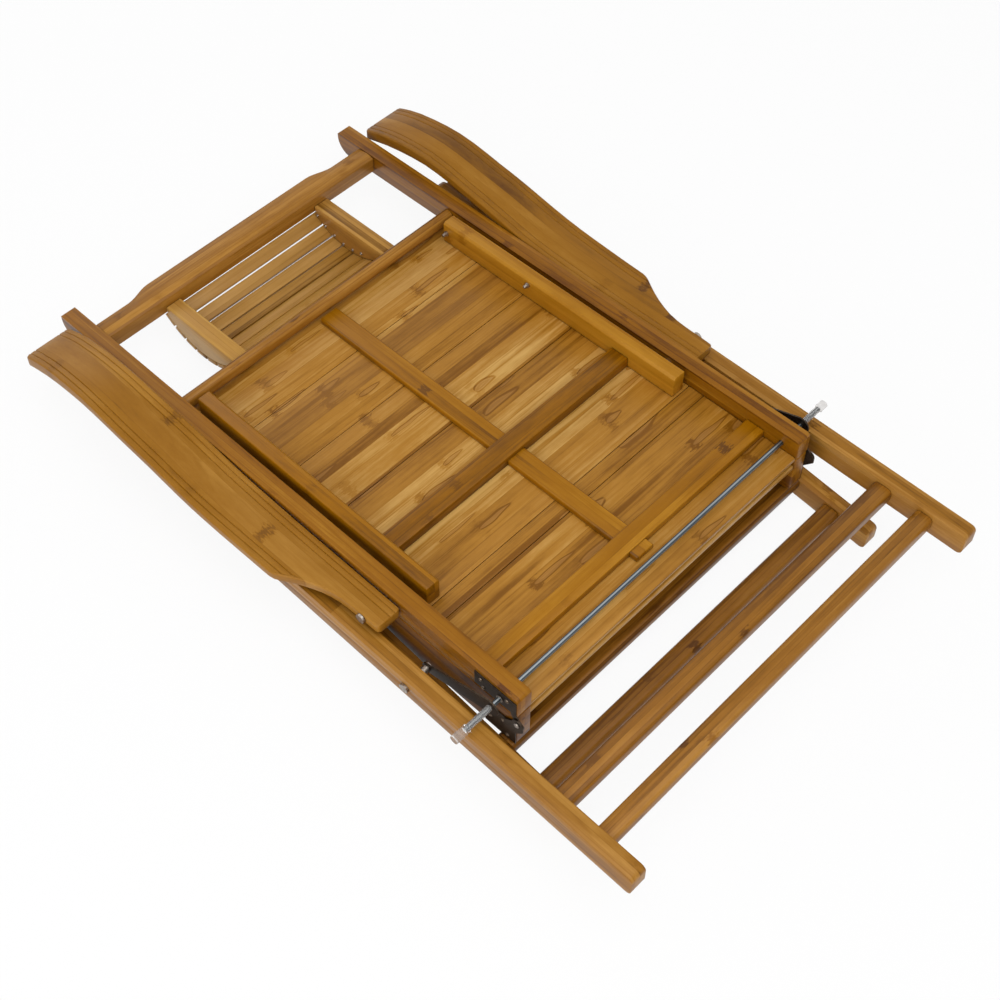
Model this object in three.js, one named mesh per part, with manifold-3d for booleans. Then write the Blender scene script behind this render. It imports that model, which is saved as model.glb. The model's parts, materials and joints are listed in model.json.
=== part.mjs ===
// Folding bamboo recliner, folded flat and lying on its inner feet and the front of its seat.
// Millimetres. The chair is drawn in its own frame, then tipped to rest on the floor:
// x runs from the headrest (minus) to the feet (plus), y across the chair, z is up,
// and x = 0, z = 0 is the hinge end of the backrest rails, at their upper edge.
import * as THREE from "three";
import { mergeVertices } from "three/addons/utils/BufferGeometryUtils.js";
import Module from "manifold-3d";

const wasm = await Module();
wasm.setup();
const { Manifold, Mesh } = wasm;

// Clearances
const SEATED = 0.3; // between pieces that rest on or butt against each other
const RUNNING = 0.06; // round a pin that something turns on
const HOLE_PLAY = 0.4; // round a bolt or rod that is only passed through

// Round parts
const HOLE_STEPS = 40;
const PIN_STEPS = 40;
const CORNER_STEPS = 4;

// Backrest
const BACK_LENGTH = 796.8;
const BACK_WIDTH = 500;
const RAIL_THICKNESS = 21.6;
const RAIL_DEPTH = 31;
const HEAD_END_RADIUS = 24;
const RAIL_OUTSIDE = BACK_WIDTH / 2;
const RAIL_INSIDE = RAIL_OUTSIDE - RAIL_THICKNESS;
const PANEL_TOP = -27.5;
const PANEL_THICKNESS = 6.5;
const PANEL_BOTTOM = PANEL_TOP - PANEL_THICKNESS;
const PANEL_SPAN = 2 * (RAIL_INSIDE - SEATED);

// Across the chair, outwards from the backrest: inner leg, strap, outer leg
const INNER_GAP = 3.2; // room for the hinge plates
const INNER_THICKNESS = 20.2;
const INNER_INSIDE = RAIL_OUTSIDE + INNER_GAP;
const INNER_OUTSIDE = INNER_INSIDE + INNER_THICKNESS;
const LEGS_APART = 5.2;
const OUTER_THICKNESS = 21.6;
const OUTER_INSIDE = INNER_OUTSIDE + LEGS_APART;
const OUTER_OUTSIDE = OUTER_INSIDE + OUTER_THICKNESS;

// The round of the headrest, which sets the two crossbars it hangs between
const HEAD_MARGIN = 136.8; // from the rails' head ends to its centre
const HEAD_RADIUS = 95;
const HEAD_DEPTH = 54; // its lowest point, below the rails' top
const HEAD_FRONT_DEPTH = 29.5; // where the round meets the top crossbar
const HEAD_HEEL_DEPTH = 22; // where it ends, just before the second crossbar
const HEAD_HEEL = 2.6;
const HEAD_CENTRE_X = HEAD_MARGIN - BACK_LENGTH;
const HEAD_CENTRE_Z = HEAD_RADIUS - HEAD_DEPTH;
const headReach = (depth) => Math.sqrt(HEAD_RADIUS ** 2 - (HEAD_CENTRE_Z + depth) ** 2);

// Top crossbar, with a crown along the middle of its head side
const TOP_BAR_WIDTH = 30;
const TOP_BAR_RISE = 13;
const TOP_BAR_FRONT = HEAD_CENTRE_X - headReach(HEAD_FRONT_DEPTH) - SEATED;
const TOP_BAR_BACK = TOP_BAR_FRONT - TOP_BAR_WIDTH;
const TOP_BAR_RIDGE = TOP_BAR_FRONT - TOP_BAR_RISE;
const TOP_BAR_DEPTH = 26;
const TOP_BAR_SHOULDER = 2.2;
const CROWN_RISE = 9;
const CROWN_MARGIN = 52.4;
const CROWN_START = RAIL_INSIDE - CROWN_MARGIN;
const CROWN_EASE = 38;
const CROWN_FULL = CROWN_START - CROWN_EASE;
const CROWN_STATIONS = 6;

// Second crossbar, a slim pole
const POLE_WIDTH = 15;
const POLE_BACK = HEAD_CENTRE_X + headReach(HEAD_HEEL_DEPTH) + HEAD_HEEL + SEATED;
const POLE_CENTRE_X = POLE_BACK + POLE_WIDTH / 2;
const POLE_TOP = -3.5;
const POLE_BOTTOM = -23.5;
const POLE_CORNER = 7;

// Headrest: two half-round blocks with slats bent round their lower side
const BLOCK_MARGIN = 88.4;
const BLOCK_THICKNESS = 23;
const BLOCK_OUTSIDE = RAIL_INSIDE - BLOCK_MARGIN;
const BLOCK_INSIDE = BLOCK_OUTSIDE - BLOCK_THICKNESS;
const BLOCK_TOP = -16;
const HEAD_SLAT_THICKNESS = 7;
const HEAD_SLATS = 7;
const HEAD_BAR_GAP = 1.55; // between the first slat and the top crossbar
const HEAD_BOARD_GAP = 7.4; // between the last slat and the panel
const HEAD_SLAT_GAP = 2.2;
const ARC_STEPS = 3;

// Stiffening frame on the rear of the backrest
const CLEAT_GAP = 8.9;
const CLEAT_WIDTH = 19.5;
const CLEAT_OUTSIDE = RAIL_INSIDE - CLEAT_GAP;
const CLEAT_INSIDE = CLEAT_OUTSIDE - CLEAT_WIDTH;
const CLEAT_TOP = 5;
const CLEAT_TO_POLE = 11;
const CLEAT_HEAD_END = POLE_CENTRE_X + POLE_WIDTH / 2 + CLEAT_TO_POLE;
const CLEAT_HINGE_END = -166;
const CLEAT_BEVEL = 3;
const FRAME_BOTTOM = PANEL_TOP + SEATED;
const CENTRE_BATTEN_HALF = 14.2;
const CENTRE_BATTEN_TOP = -19.5;
const BATTEN_TO_POLE = 3;
const CENTRE_BATTEN_HEAD_END = POLE_CENTRE_X + POLE_WIDTH / 2 + BATTEN_TO_POLE;
const CENTRE_BATTEN_TIP = -38;
const MID_BATTEN_BACK = -264.8;
const MID_BATTEN_FRONT = -237.8;
const MID_BATTEN_TOP = -12;
const LOWER_BATTEN_BACK = -75;
const LOWER_BATTEN_FRONT = -49;
const LOWER_BATTEN_TOP = -16.5;

// Panel boards, from the hinge end towards the head
const END_BOARD_EDGE = -1;
const LOWER_BOARDS = 2;
const LOWER_BOARDS_END = -140;
const NARROW_BOARD_END = -163;
const UPPER_BOARDS = 5;
const PANEL_PAST_POLE = 5.5;
const UPPER_BOARDS_END = POLE_CENTRE_X - PANEL_PAST_POLE;
const BOARD_GAP = 0.5;
const BOARD_CORNER = 1.2;

// Folding points, in the chair's frame
const ROD = { x: -24, z: -18 };
const HINGE = { x: 2.5, z: -41 };
const STRAP_PIN = { x: -120, z: -50 };
const ARM_PIN = { x: -201, z: -15 };
const LEG_PIN = { x: -622, z: -36.5 };
const BRACKET_PIN = { x: -590, z: -34.9 };

// Rod with its end caps: a thin sleeve over the rod, wider past the outer leg
const ROD_RADIUS = 3;
const ROD_OVERHANG = 2.3;
const ROD_HALF_LENGTH = OUTER_OUTSIDE + ROD_OVERHANG;
const ROD_SLIDE = -2.5; // the rod has slid a little to the left
const SLEEVE_RADIUS = 4;
const CAP_RADIUS = 5.3;
const CAP_REACH = { left: 16, right: 11 }; // the right cap is pushed further onto the rod
const CAP_CLEARANCE = 0.6; // between the wide end of a cap and the outer leg
const CAP_PLAY = 0.25;

// Hinge plates
const LEAF_THICKNESS = 1.2;
const LEAF_DISC_RADIUS = 8;
const LEAF_PIN_RADIUS = 3;
const BACK_LEAF_LENGTH = 62;
const SEAT_LEAF_LENGTH = 46;
const LEAF_TOP_MARGIN = 5.3;
const LEAF_MARGIN = 2.5;
const LEAF_END_MARGIN = 1;
const NECK_DEPTH = 13;
const LEAF_START = RAIL_OUTSIDE + 0.15;
const KNUCKLE_START = LEAF_START + LEAF_THICKNESS + SEATED;
const LEAF_RELIEF = LEAF_DISC_RADIUS + 1.2;

// Seat
const SEAT_TOP = -33.3;
const SEAT_BOTTOM = -91;
const SEAT_FRONT = -490;
const NOSE_START = -430;
const NOSE_BOTTOM = -100;
const NOSE_BOTTOM_END = -440;
// Each station: how far behind the front of the seat, how far above the nose's underside.
const NOSE_STATIONS = [
  [16, 0],
  [6, 4],
  [0, 14],
  [3, 30],
  [13, 46],
  [30, 59],
];
const FRONT_BOARD_OUTSIDE = [
  [15, 5],
  [9.5, 15],
  [12, 29],
  [22, 42.5],
  [38, 53],
];
const FRONT_BOARD_INSIDE = [
  [42.5, 45],
  [29.5, 37],
  [21, 26],
  [18.5, 15],
  [22, 7],
];
// How far behind the nose, and how far the rail still hangs below its straight part.
const NOSE_EASE = [
  [60, 3],
  [110, 0],
];
const SEAT_REAR = -0.5;
const SEAT_CORNER = 5;
const SEAT_PANEL_TOP = -43;
const SEAT_PANEL_THICKNESS = 8;
const SEAT_BOARDS = 3;
const SEAT_BOARD_GAP = 2;
const REAR_BAR_FRONT = -14;
const REAR_BAR_WIDTH = 24;
const REAR_BAR_DEPTH = 25;

// Outer legs
const OUTER_TOP = -36.5;
const OUTER_SLOPE_SHARE = -0.0197;
const OUTER_DEPTH = 32.1;
const OUTER_FOOT = 204.5;
const OUTER_HEAD = -640;
const FOOT_RADIUS = 7;
const OUTER_HEAD_RADIUS = 13;
const CROSSBAR_DEPTH = 22;
const CROSSBAR_CORNER = 6;
const OUTER_FOOT_BAR_BEHIND = 43.5;
const OUTER_FOOT_BAR_WIDTH = 23;
const OUTER_UPPER_BAR_BEHIND = 100.5;
const OUTER_UPPER_BAR_WIDTH = 24.5;
const OUTER_BARS = [
  { name: "outer_crossbar_foot", behind: OUTER_FOOT_BAR_BEHIND, width: OUTER_FOOT_BAR_WIDTH },
  { name: "outer_crossbar_upper", behind: OUTER_UPPER_BAR_BEHIND, width: OUTER_UPPER_BAR_WIDTH },
];

// Inner legs
const INNER_TOP = -96.5;
const INNER_SLOPE_SHARE = -0.125;
const INNER_DEPTH = 29.5;
const INNER_FOOT = 101;
const INNER_HEAD = -640;
const INNER_FOOT_BAR = { behind: 42, width: 24, sink: 3.1, depth: 22.3 };
const INNER_UPPER_BAR = { behind: 102, width: 25, sink: -0.8, depth: 18 };
const INNER_BARS = [
  { name: "inner_crossbar_foot", ...INNER_FOOT_BAR },
  { name: "inner_crossbar_upper", ...INNER_UPPER_BAR },
];

// Straps between the rod and the outer legs
const STRAP_THICKNESS = 2;
const STRAP_STANDOFF = 15;
const STRAP_START = RAIL_OUTSIDE + STRAP_STANDOFF;
const STRAP_NARROW_RADIUS = 7;
const STRAP_WIDE_RADIUS = 11.5;

// Bolts
const BOLT_RADIUS = 3;
const LEG_BOLT_RADIUS = 4;
const BOLT_HEAD = 6.2;
const LEG_BOLT_HEAD = 7.2;
const HEAD_THICKNESS = 3;
const THIN_HEAD = 1.5;
const SPACER_RADIUS = 5;
const NUT_STEPS = 6;

// Armrests: the plan, the height and the thickness change along x
const ARM_PLAN = [
  // x, inner and outer edge outwards from the rail, height of the top, thickness
  [-175.2, 1.4, 35.4, -7.6, 13.5],
  [-190, 1.4, 35.8, -7.3, 13.5],
  [-205, 1.4, 36, -7.3, 13.5],
  [-220, 1.4, 36.4, -7.2, 13.5],
  [-233, 1.4, 37.4, -7.2, 13.3],
  [-247, 1.4, 39.8, -7.1, 13],
  [-259, 1.4, 43.4, -7.1, 12.7],
  [-271.5, 1.4, 48.2, -7.1, 12.5],
  [-284, 1.4, 54, -7.1, 12.5],
  [-295, 1.4, 60, -7, 12.5],
  [-304, 1.4, 65.4, -7, 12.5],
  [-310.5, 1.4, 68.6, -7, 12.5],
  [-317, 1.4, 69.9, -6.9, 12.5],
  [-326, 1.4, 70.2, -6.9, 12.5],
  [-350, 1.4, 70.7, -6.5, 12.5],
  [-375, 1.4, 71.3, -5.8, 12.5],
  [-400, 1.4, 72, -5, 12.5],
  [-425, 1.4, 72.6, -3.7, 12.5],
  [-450, 1.5, 73.2, -1.5, 12.5],
  [-475, 1.7, 73.6, 2, 12.5],
  [-500, 2.1, 73.9, 6.4, 12.5],
  [-525, 2.6, 74.2, 10.8, 12.5],
  [-550, 3.3, 74.6, 14.4, 12.5],
  [-575, 4, 74.8, 17.4, 12.5],
  [-600, 4.6, 75, 21.2, 12.7],
  [-625, 5, 74.9, 24.6, 13.6],
  [-650, 5.4, 74.6, 26.2, 14.6],
  [-675, 5.5, 74.2, 25.3, 15.8],
  [-700, 5.6, 73.7, 22.4, 16.6],
  [-725, 5.7, 73.4, 18, 17.2],
  [-745, 6, 73.3, 12.4, 17.4],
  [-758, 6.4, 73.2, 7.6, 16.8],
  [-770, 6.8, 73.2, 2.4, 15.6],
];
const ARM_CORNER = 4;
const ARM_CORNER_STEPS = 3;
const ARM_EDGE_BEVEL = 1.6;
const GROOVE_INSETS = [7.5, 15];
const GROOVE_WIDTH = 1.8;
const GROOVE_DEPTH = 1.2;
const GROOVE_LINE_REACH = 70; // the outer grooves run straight from here, across the cut-out
const GROOVE_LEAST_STEP = 0.1;

// Brackets under the armrests
const BRACKET_START = OUTER_OUTSIDE + 2 * SEATED + HEAD_THICKNESS + SEATED;
const BRACKET_THICKNESS = 2.5;
const BRACKET_HALF_LENGTH = 15;
const BRACKET_DROP = 9;
const BRACKET_FLANGE = 14;

const radians = THREE.MathUtils.degToRad;
const outerTop = (x) => OUTER_TOP + OUTER_SLOPE_SHARE * x;
const innerTop = (x) => INNER_TOP + INNER_SLOPE_SHARE * x;

// Outlines are lists of [x, z]; every corner turns at a point of the list.

// A list of points round a centre, from one angle to another, in degrees from +x towards +z.
function arc(cx, cz, radius, from, to, steps) {
  return Array.from({ length: steps + 1 }, (_, i) => {
    const angle = radians(from + ((to - from) * i) / steps);
    return [cx + radius * Math.cos(angle), cz + radius * Math.sin(angle)];
  });
}

// A box from one corner to the opposite one, with its four corners rounded.
function roundedBox(x0, z0, x1, z1, radius) {
  return [
    ...arc(x1 - radius, z0 + radius, radius, -90, 0, CORNER_STEPS),
    ...arc(x1 - radius, z1 - radius, radius, 0, 90, CORNER_STEPS),
    ...arc(x0 + radius, z1 - radius, radius, 90, 180, CORNER_STEPS),
    ...arc(x0 + radius, z0 + radius, radius, 180, 270, CORNER_STEPS),
  ];
}

// The outline that holds two circles, like a belt round two pulleys.
function belt(a, radiusA, b, radiusB) {
  const along = Math.atan2(b.z - a.z, b.x - a.x);
  const apart = Math.hypot(b.x - a.x, b.z - a.z);
  const open = THREE.MathUtils.radToDeg(Math.acos((radiusA - radiusB) / apart));
  const axis = THREE.MathUtils.radToDeg(along);
  return [
    ...arc(a.x, a.z, radiusA, axis + open, axis + 360 - open, 4 * CORNER_STEPS),
    ...arc(b.x, b.z, radiusB, axis - open, axis + open, 4 * CORNER_STEPS),
  ];
}

// A flat piece: an [x, z] outline with round holes, thick from y0 to y1.
function plate(outline, y0, y1, holes = []) {
  const shape = new THREE.Shape(outline.map(([x, z]) => new THREE.Vector2(x, z)));
  for (const { x, z, radius } of holes) {
    const hole = new THREE.Path();
    arc(x, z, radius, 0, 360, HOLE_STEPS)
      .slice(0, HOLE_STEPS)
      .forEach(([hx, hz], i) => (i ? hole.lineTo(hx, hz) : hole.moveTo(hx, hz)));
    hole.closePath();
    shape.holes.push(hole);
  }
  const geometry = new THREE.ExtrudeGeometry(shape, {
    depth: y1 - y0,
    bevelEnabled: false,
  });
  return geometry.rotateX(Math.PI / 2).translate(0, y1, 0);
}

// The same across the chair: a [y, z] outline, long from x0 to x1.
function beam(outline, x0, x1) {
  const shape = new THREE.Shape(outline.map(([y, z]) => new THREE.Vector2(y, z)));
  const geometry = new THREE.ExtrudeGeometry(shape, {
    depth: x1 - x0,
    bevelEnabled: false,
  });
  return geometry.rotateX(Math.PI / 2).rotateZ(Math.PI / 2).translate(x0, 0, 0);
}

// A crosswise bar: an [x, z] outline centred on the chair.
const crossbar = (outline, span, holes) => plate(outline, -span / 2, span / 2, holes);

// A closed skin through a row of loops, each a list of [x, y, z] of the same length.
function loft(loops) {
  const count = loops[0].length;
  const points = loops.flat(2);
  const faces = [];
  for (let s = 0; s + 1 < loops.length; s += 1)
    for (let i = 0; i < count; i += 1) {
      const j = (i + 1) % count;
      const [a, b] = [s * count + i, s * count + j];
      const [c, d] = [a + count, b + count];
      faces.push(a, b, d, a, d, c);
    }
  const last = (loops.length - 1) * count;
  const flat = (loop) => {
    const across = new THREE.Vector3(...loop[1]).sub(new THREE.Vector3(...loop[0]));
    const alongX = Math.abs(loops.at(-1)[0][0] - loops[0][0][0]) > Math.abs(across.x);
    return loop.map(([x, y, z]) => new THREE.Vector2(alongX ? y : x, z));
  };
  for (const [loop, offset, turned] of [
    [loops[0], 0, true],
    [loops.at(-1), last, false],
  ])
    for (const [a, b, c] of capTriangles(flat(loop), turned))
      faces.push(offset + a, offset + b, offset + c);
  const geometry = new THREE.BufferGeometry();
  geometry.setAttribute("position", new THREE.Float32BufferAttribute(points, 3));
  geometry.setIndex(faces);
  return outward(geometry);
}

// The triangles that close one end of a skin.
function capTriangles(outline, turned) {
  const clockwise = THREE.ShapeUtils.isClockWise(outline);
  const triangles = THREE.ShapeUtils.triangulateShape(outline, []);
  const order = clockwise ? (t) => [t[0], t[2], t[1]] : (t) => t;
  return triangles.map(order).map(([a, b, c]) => (turned ? [a, c, b] : [a, b, c]));
}

// Turns a skin's faces round if they look inwards.
function outward(geometry) {
  const position = geometry.getAttribute("position");
  const index = geometry.getIndex();
  const [a, b, c] = [new THREE.Vector3(), new THREE.Vector3(), new THREE.Vector3()];
  let volume = 0;
  for (let i = 0; i < index.count; i += 3) {
    a.fromBufferAttribute(position, index.getX(i));
    b.fromBufferAttribute(position, index.getX(i + 1));
    c.fromBufferAttribute(position, index.getX(i + 2));
    volume += a.dot(b.cross(c));
  }
  if (volume < 0) {
    const turned = Array.from(index.array);
    for (let i = 0; i < turned.length; i += 3)
      [turned[i + 1], turned[i + 2]] = [turned[i + 2], turned[i + 1]];
    geometry.setIndex(turned);
  }
  return geometry;
}

// A round pin along y.
function pin(radius, y0, y1, { x, z }, steps = PIN_STEPS) {
  const [low, high] = [Math.min(y0, y1), Math.max(y0, y1)];
  const geometry = new THREE.CylinderGeometry(radius, radius, high - low, steps);
  return geometry.translate(x, (low + high) / 2, z);
}

// Adding and taking away
function solid(geometry) {
  const bare = new THREE.BufferGeometry();
  const loose = geometry.index ? geometry.toNonIndexed() : geometry;
  bare.setAttribute("position", loose.getAttribute("position"));
  const merged = mergeVertices(bare, 1e-4);
  return new Manifold(
    new Mesh({
      numProp: 3,
      vertProperties: new Float32Array(merged.attributes.position.array),
      triVerts: new Uint32Array(merged.index.array),
    }),
  );
}

function skin(made) {
  const mesh = made.getMesh();
  const geometry = new THREE.BufferGeometry();
  geometry.setAttribute(
    "position",
    new THREE.BufferAttribute(new Float32Array(mesh.vertProperties), 3),
  );
  geometry.setIndex(new THREE.BufferAttribute(new Uint32Array(mesh.triVerts), 1));
  return geometry;
}

const joined = (...pieces) => skin(Manifold.union(pieces.map(solid)));
const without = (piece, ...cuts) => skin(solid(piece).subtract(Manifold.union(cuts.map(solid))));

// The chair
const chair = new THREE.Group();
chair.name = "folding_bamboo_recliner";

const COLOURS = {
  bamboo: 0xb5894f,
  steel: 0x4a4a4c,
  zinc: 0xb4bcc2,
  cap: 0xe4e6e4,
};

function add(name, geometry, colour = COLOURS.bamboo, roughness = 0.45) {
  const metalness = colour === COLOURS.steel || colour === COLOURS.zinc ? 1 : 0;
  const material = new THREE.MeshStandardMaterial({ color: colour, roughness, metalness });
  const mesh = new THREE.Mesh(geometry, material);
  mesh.name = name;
  chair.add(mesh);
}

// Makes a piece on each side of the chair: y counts outwards from the middle.
const SIDES = [
  { suffix: "left", sign: -1 },
  { suffix: "right", sign: 1 },
];

function addPair(name, make, colour) {
  for (const { suffix, sign } of SIDES) {
    const geometry = make();
    add(`${name}_${suffix}`, sign > 0 ? geometry : mirrored(geometry), colour);
  }
}

// The piece on the other side of the chair.
function mirrored(geometry) {
  const flipped = geometry.index ? geometry.clone() : mergeVertices(geometry.clone());
  flipped.deleteAttribute("normal");
  flipped.deleteAttribute("uv");
  const welded = mergeVertices(flipped, 1e-4);
  return outward(welded.scale(1, -1, 1));
}

function addBackrestFrame() {
  const headTurn = arc(
    -BACK_LENGTH + HEAD_END_RADIUS,
    -RAIL_DEPTH + HEAD_END_RADIUS,
    HEAD_END_RADIUS,
    180,
    270,
    2 * CORNER_STEPS,
  );
  const rail = [
    [-BACK_LENGTH + BOARD_CORNER, 0],
    [-BACK_LENGTH, -BOARD_CORNER],
    ...headTurn,
    [-BOARD_CORNER, -RAIL_DEPTH],
    [0, -RAIL_DEPTH + BOARD_CORNER],
    ...arc(-SEAT_CORNER, -SEAT_CORNER, SEAT_CORNER, 0, 90, CORNER_STEPS),
  ];
  const holes = [
    { ...ROD, radius: ROD_RADIUS + HOLE_PLAY },
    { ...ARM_PIN, radius: BOLT_RADIUS + HOLE_PLAY },
  ];
  addPair("back_rail", () => plate(rail, RAIL_INSIDE, RAIL_OUTSIDE, holes));
}

// How far the crown stands out at a distance from the middle, as a share of its full rise.
function crownShare(y) {
  const t = THREE.MathUtils.clamp((CROWN_START - Math.abs(y)) / (CROWN_START - CROWN_FULL), 0, 1);
  return t * t * (3 - 2 * t);
}

function addTopCrossbar() {
  const end = RAIL_INSIDE - SEATED;
  const bend = Array.from(
    { length: CROWN_STATIONS + 1 },
    (_, i) => CROWN_START + ((CROWN_FULL - CROWN_START) * i) / CROWN_STATIONS,
  );
  const outer = [end, ...bend];
  const stations = [...outer.map((y) => -y), ...outer.toReversed()];
  const loops = stations.map((y) => {
    const back = TOP_BAR_BACK - CROWN_RISE * crownShare(y);
    return [
      [TOP_BAR_FRONT - BOARD_CORNER, -TOP_BAR_DEPTH],
      [TOP_BAR_FRONT, -TOP_BAR_DEPTH + BOARD_CORNER],
      [TOP_BAR_FRONT, -TOP_BAR_SHOULDER - BOARD_CORNER],
      [TOP_BAR_FRONT - BOARD_CORNER, -TOP_BAR_SHOULDER],
      [TOP_BAR_RIDGE, -SEATED],
      [back + BOARD_CORNER, -TOP_BAR_SHOULDER],
      [back, -TOP_BAR_SHOULDER - BOARD_CORNER],
      [back, -TOP_BAR_DEPTH + BOARD_CORNER],
      [back + BOARD_CORNER, -TOP_BAR_DEPTH],
    ].map(([x, z]) => [x, y, z]);
  });
  add("top_crossbar", loft(loops));
}

function addHeadrest() {
  const start = TOP_BAR_FRONT + SEATED;
  const end = POLE_BACK - SEATED;
  const angleAt = (x, radius) => THREE.MathUtils.radToDeg(Math.asin((x - HEAD_CENTRE_X) / radius));
  const heelX = HEAD_CENTRE_X + headReach(HEAD_HEEL_DEPTH);
  const curve = arc(
    HEAD_CENTRE_X,
    HEAD_CENTRE_Z,
    HEAD_RADIUS,
    angleAt(start, HEAD_RADIUS) - 90,
    angleAt(heelX, HEAD_RADIUS) - 90,
    HEAD_SLATS * ARC_STEPS,
  );
  const block = [[start, BLOCK_TOP], ...curve, [end, -HEAD_HEEL_DEPTH], [end, BLOCK_TOP]];
  addPair("headrest_block", () => plate(block, BLOCK_INSIDE, BLOCK_OUTSIDE));

  const inner = HEAD_RADIUS + SEATED;
  const outer = inner + HEAD_SLAT_THICKNESS;
  const gap = THREE.MathUtils.radToDeg(HEAD_SLAT_GAP / HEAD_RADIUS) / 2;
  const underBar = HEAD_CENTRE_Z + TOP_BAR_DEPTH + HEAD_BAR_GAP;
  const first = -THREE.MathUtils.radToDeg(Math.acos(underBar / inner));
  const pitch = (angleAt(UPPER_BOARDS_END - HEAD_BOARD_GAP, outer) - first) / HEAD_SLATS;
  for (let i = 0; i < HEAD_SLATS; i += 1) {
    const from = first + pitch * i + gap - 90;
    const to = from + pitch - 2 * gap;
    const slat = [
      ...arc(HEAD_CENTRE_X, HEAD_CENTRE_Z, outer, from, to, ARC_STEPS),
      ...arc(HEAD_CENTRE_X, HEAD_CENTRE_Z, inner, to, from, ARC_STEPS),
    ];
    add(`headrest_slat_${i + 1}`, crossbar(slat, 2 * BLOCK_OUTSIDE));
  }
}

function addSecondCrossbar() {
  const half = POLE_WIDTH / 2;
  const outline = roundedBox(
    POLE_CENTRE_X - half,
    POLE_BOTTOM,
    POLE_CENTRE_X + half,
    POLE_TOP,
    POLE_CORNER,
  );
  add("second_crossbar", crossbar(outline, PANEL_SPAN));
}

function addBackBoards() {
  const edges = [];
  const step = (from, to, count) => {
    for (let i = 0; i < count; i += 1)
      edges.push([from + ((to - from) * i) / count, from + ((to - from) * (i + 1)) / count]);
  };
  step(END_BOARD_EDGE, LOWER_BOARDS_END, LOWER_BOARDS);
  step(LOWER_BOARDS_END, NARROW_BOARD_END, 1);
  step(NARROW_BOARD_END, UPPER_BOARDS_END, UPPER_BOARDS);
  edges.forEach(([near, far], i) => {
    const outline = roundedBox(
      far + BOARD_GAP / 2,
      PANEL_BOTTOM,
      near - BOARD_GAP / 2,
      PANEL_TOP,
      BOARD_CORNER,
    );
    add(`back_board_${i + 1}`, crossbar(outline, PANEL_SPAN));
  });
}

function addStiffeningFrame() {
  const cleat = [
    [CLEAT_INSIDE, FRAME_BOTTOM],
    [CLEAT_OUTSIDE, FRAME_BOTTOM],
    [CLEAT_OUTSIDE, CLEAT_TOP - BOARD_CORNER],
    [CLEAT_OUTSIDE - BOARD_CORNER, CLEAT_TOP],
    [CLEAT_INSIDE + CLEAT_BEVEL, CLEAT_TOP],
    [CLEAT_INSIDE, CLEAT_TOP - CLEAT_BEVEL],
  ];
  addPair("back_cleat", () => beam(cleat, CLEAT_HEAD_END, CLEAT_HINGE_END));

  const centre = [
    [-CENTRE_BATTEN_HALF, FRAME_BOTTOM],
    [CENTRE_BATTEN_HALF, FRAME_BOTTOM],
    [CENTRE_BATTEN_HALF, CENTRE_BATTEN_TOP - BOARD_CORNER],
    [CENTRE_BATTEN_HALF - BOARD_CORNER, CENTRE_BATTEN_TOP],
    [-CENTRE_BATTEN_HALF + BOARD_CORNER, CENTRE_BATTEN_TOP],
    [-CENTRE_BATTEN_HALF, CENTRE_BATTEN_TOP - BOARD_CORNER],
  ];
  add("centre_batten", beam(centre, CENTRE_BATTEN_HEAD_END, CENTRE_BATTEN_TIP));

  // The cross battens are notched over the centre one.
  const notched = (half, top) => [
    [-half, FRAME_BOTTOM],
    [-CENTRE_BATTEN_HALF - SEATED, FRAME_BOTTOM],
    [-CENTRE_BATTEN_HALF - SEATED, CENTRE_BATTEN_TOP + SEATED],
    [CENTRE_BATTEN_HALF + SEATED, CENTRE_BATTEN_TOP + SEATED],
    [CENTRE_BATTEN_HALF + SEATED, FRAME_BOTTOM],
    [half, FRAME_BOTTOM],
    [half, top],
    [-half, top],
  ];
  const mid = notched(CLEAT_INSIDE - SEATED, MID_BATTEN_TOP);
  add("mid_batten", beam(mid, MID_BATTEN_BACK, MID_BATTEN_FRONT));
  const lower = notched(PANEL_SPAN / 2, LOWER_BATTEN_TOP);
  add("lower_batten", beam(lower, LOWER_BATTEN_BACK, LOWER_BATTEN_FRONT));
}

function addRod() {
  const rodEnd = { left: ROD_HALF_LENGTH - ROD_SLIDE, right: ROD_HALF_LENGTH + ROD_SLIDE };
  add("hinge_rod", pin(ROD_RADIUS, -rodEnd.left, rodEnd.right, ROD), COLOURS.zinc);
  const sleeveStart = STRAP_START + STRAP_THICKNESS + SEATED;
  const wideStart = OUTER_OUTSIDE + CAP_CLEARANCE;
  for (const { suffix, sign } of SIDES) {
    const end = rodEnd[suffix];
    const capEnd = end + CAP_REACH[suffix];
    const cap = joined(
      pin(SLEEVE_RADIUS, sign * sleeveStart, sign * capEnd, ROD),
      pin(CAP_RADIUS, sign * wideStart, sign * capEnd, ROD),
    );
    const bore = pin(
      ROD_RADIUS + CAP_PLAY,
      sign * (sleeveStart - CAP_RADIUS),
      sign * (end + CAP_PLAY),
      ROD,
    );
    add(`rod_cap_${suffix}`, without(cap, bore), COLOURS.cap);
  }
}

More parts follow.
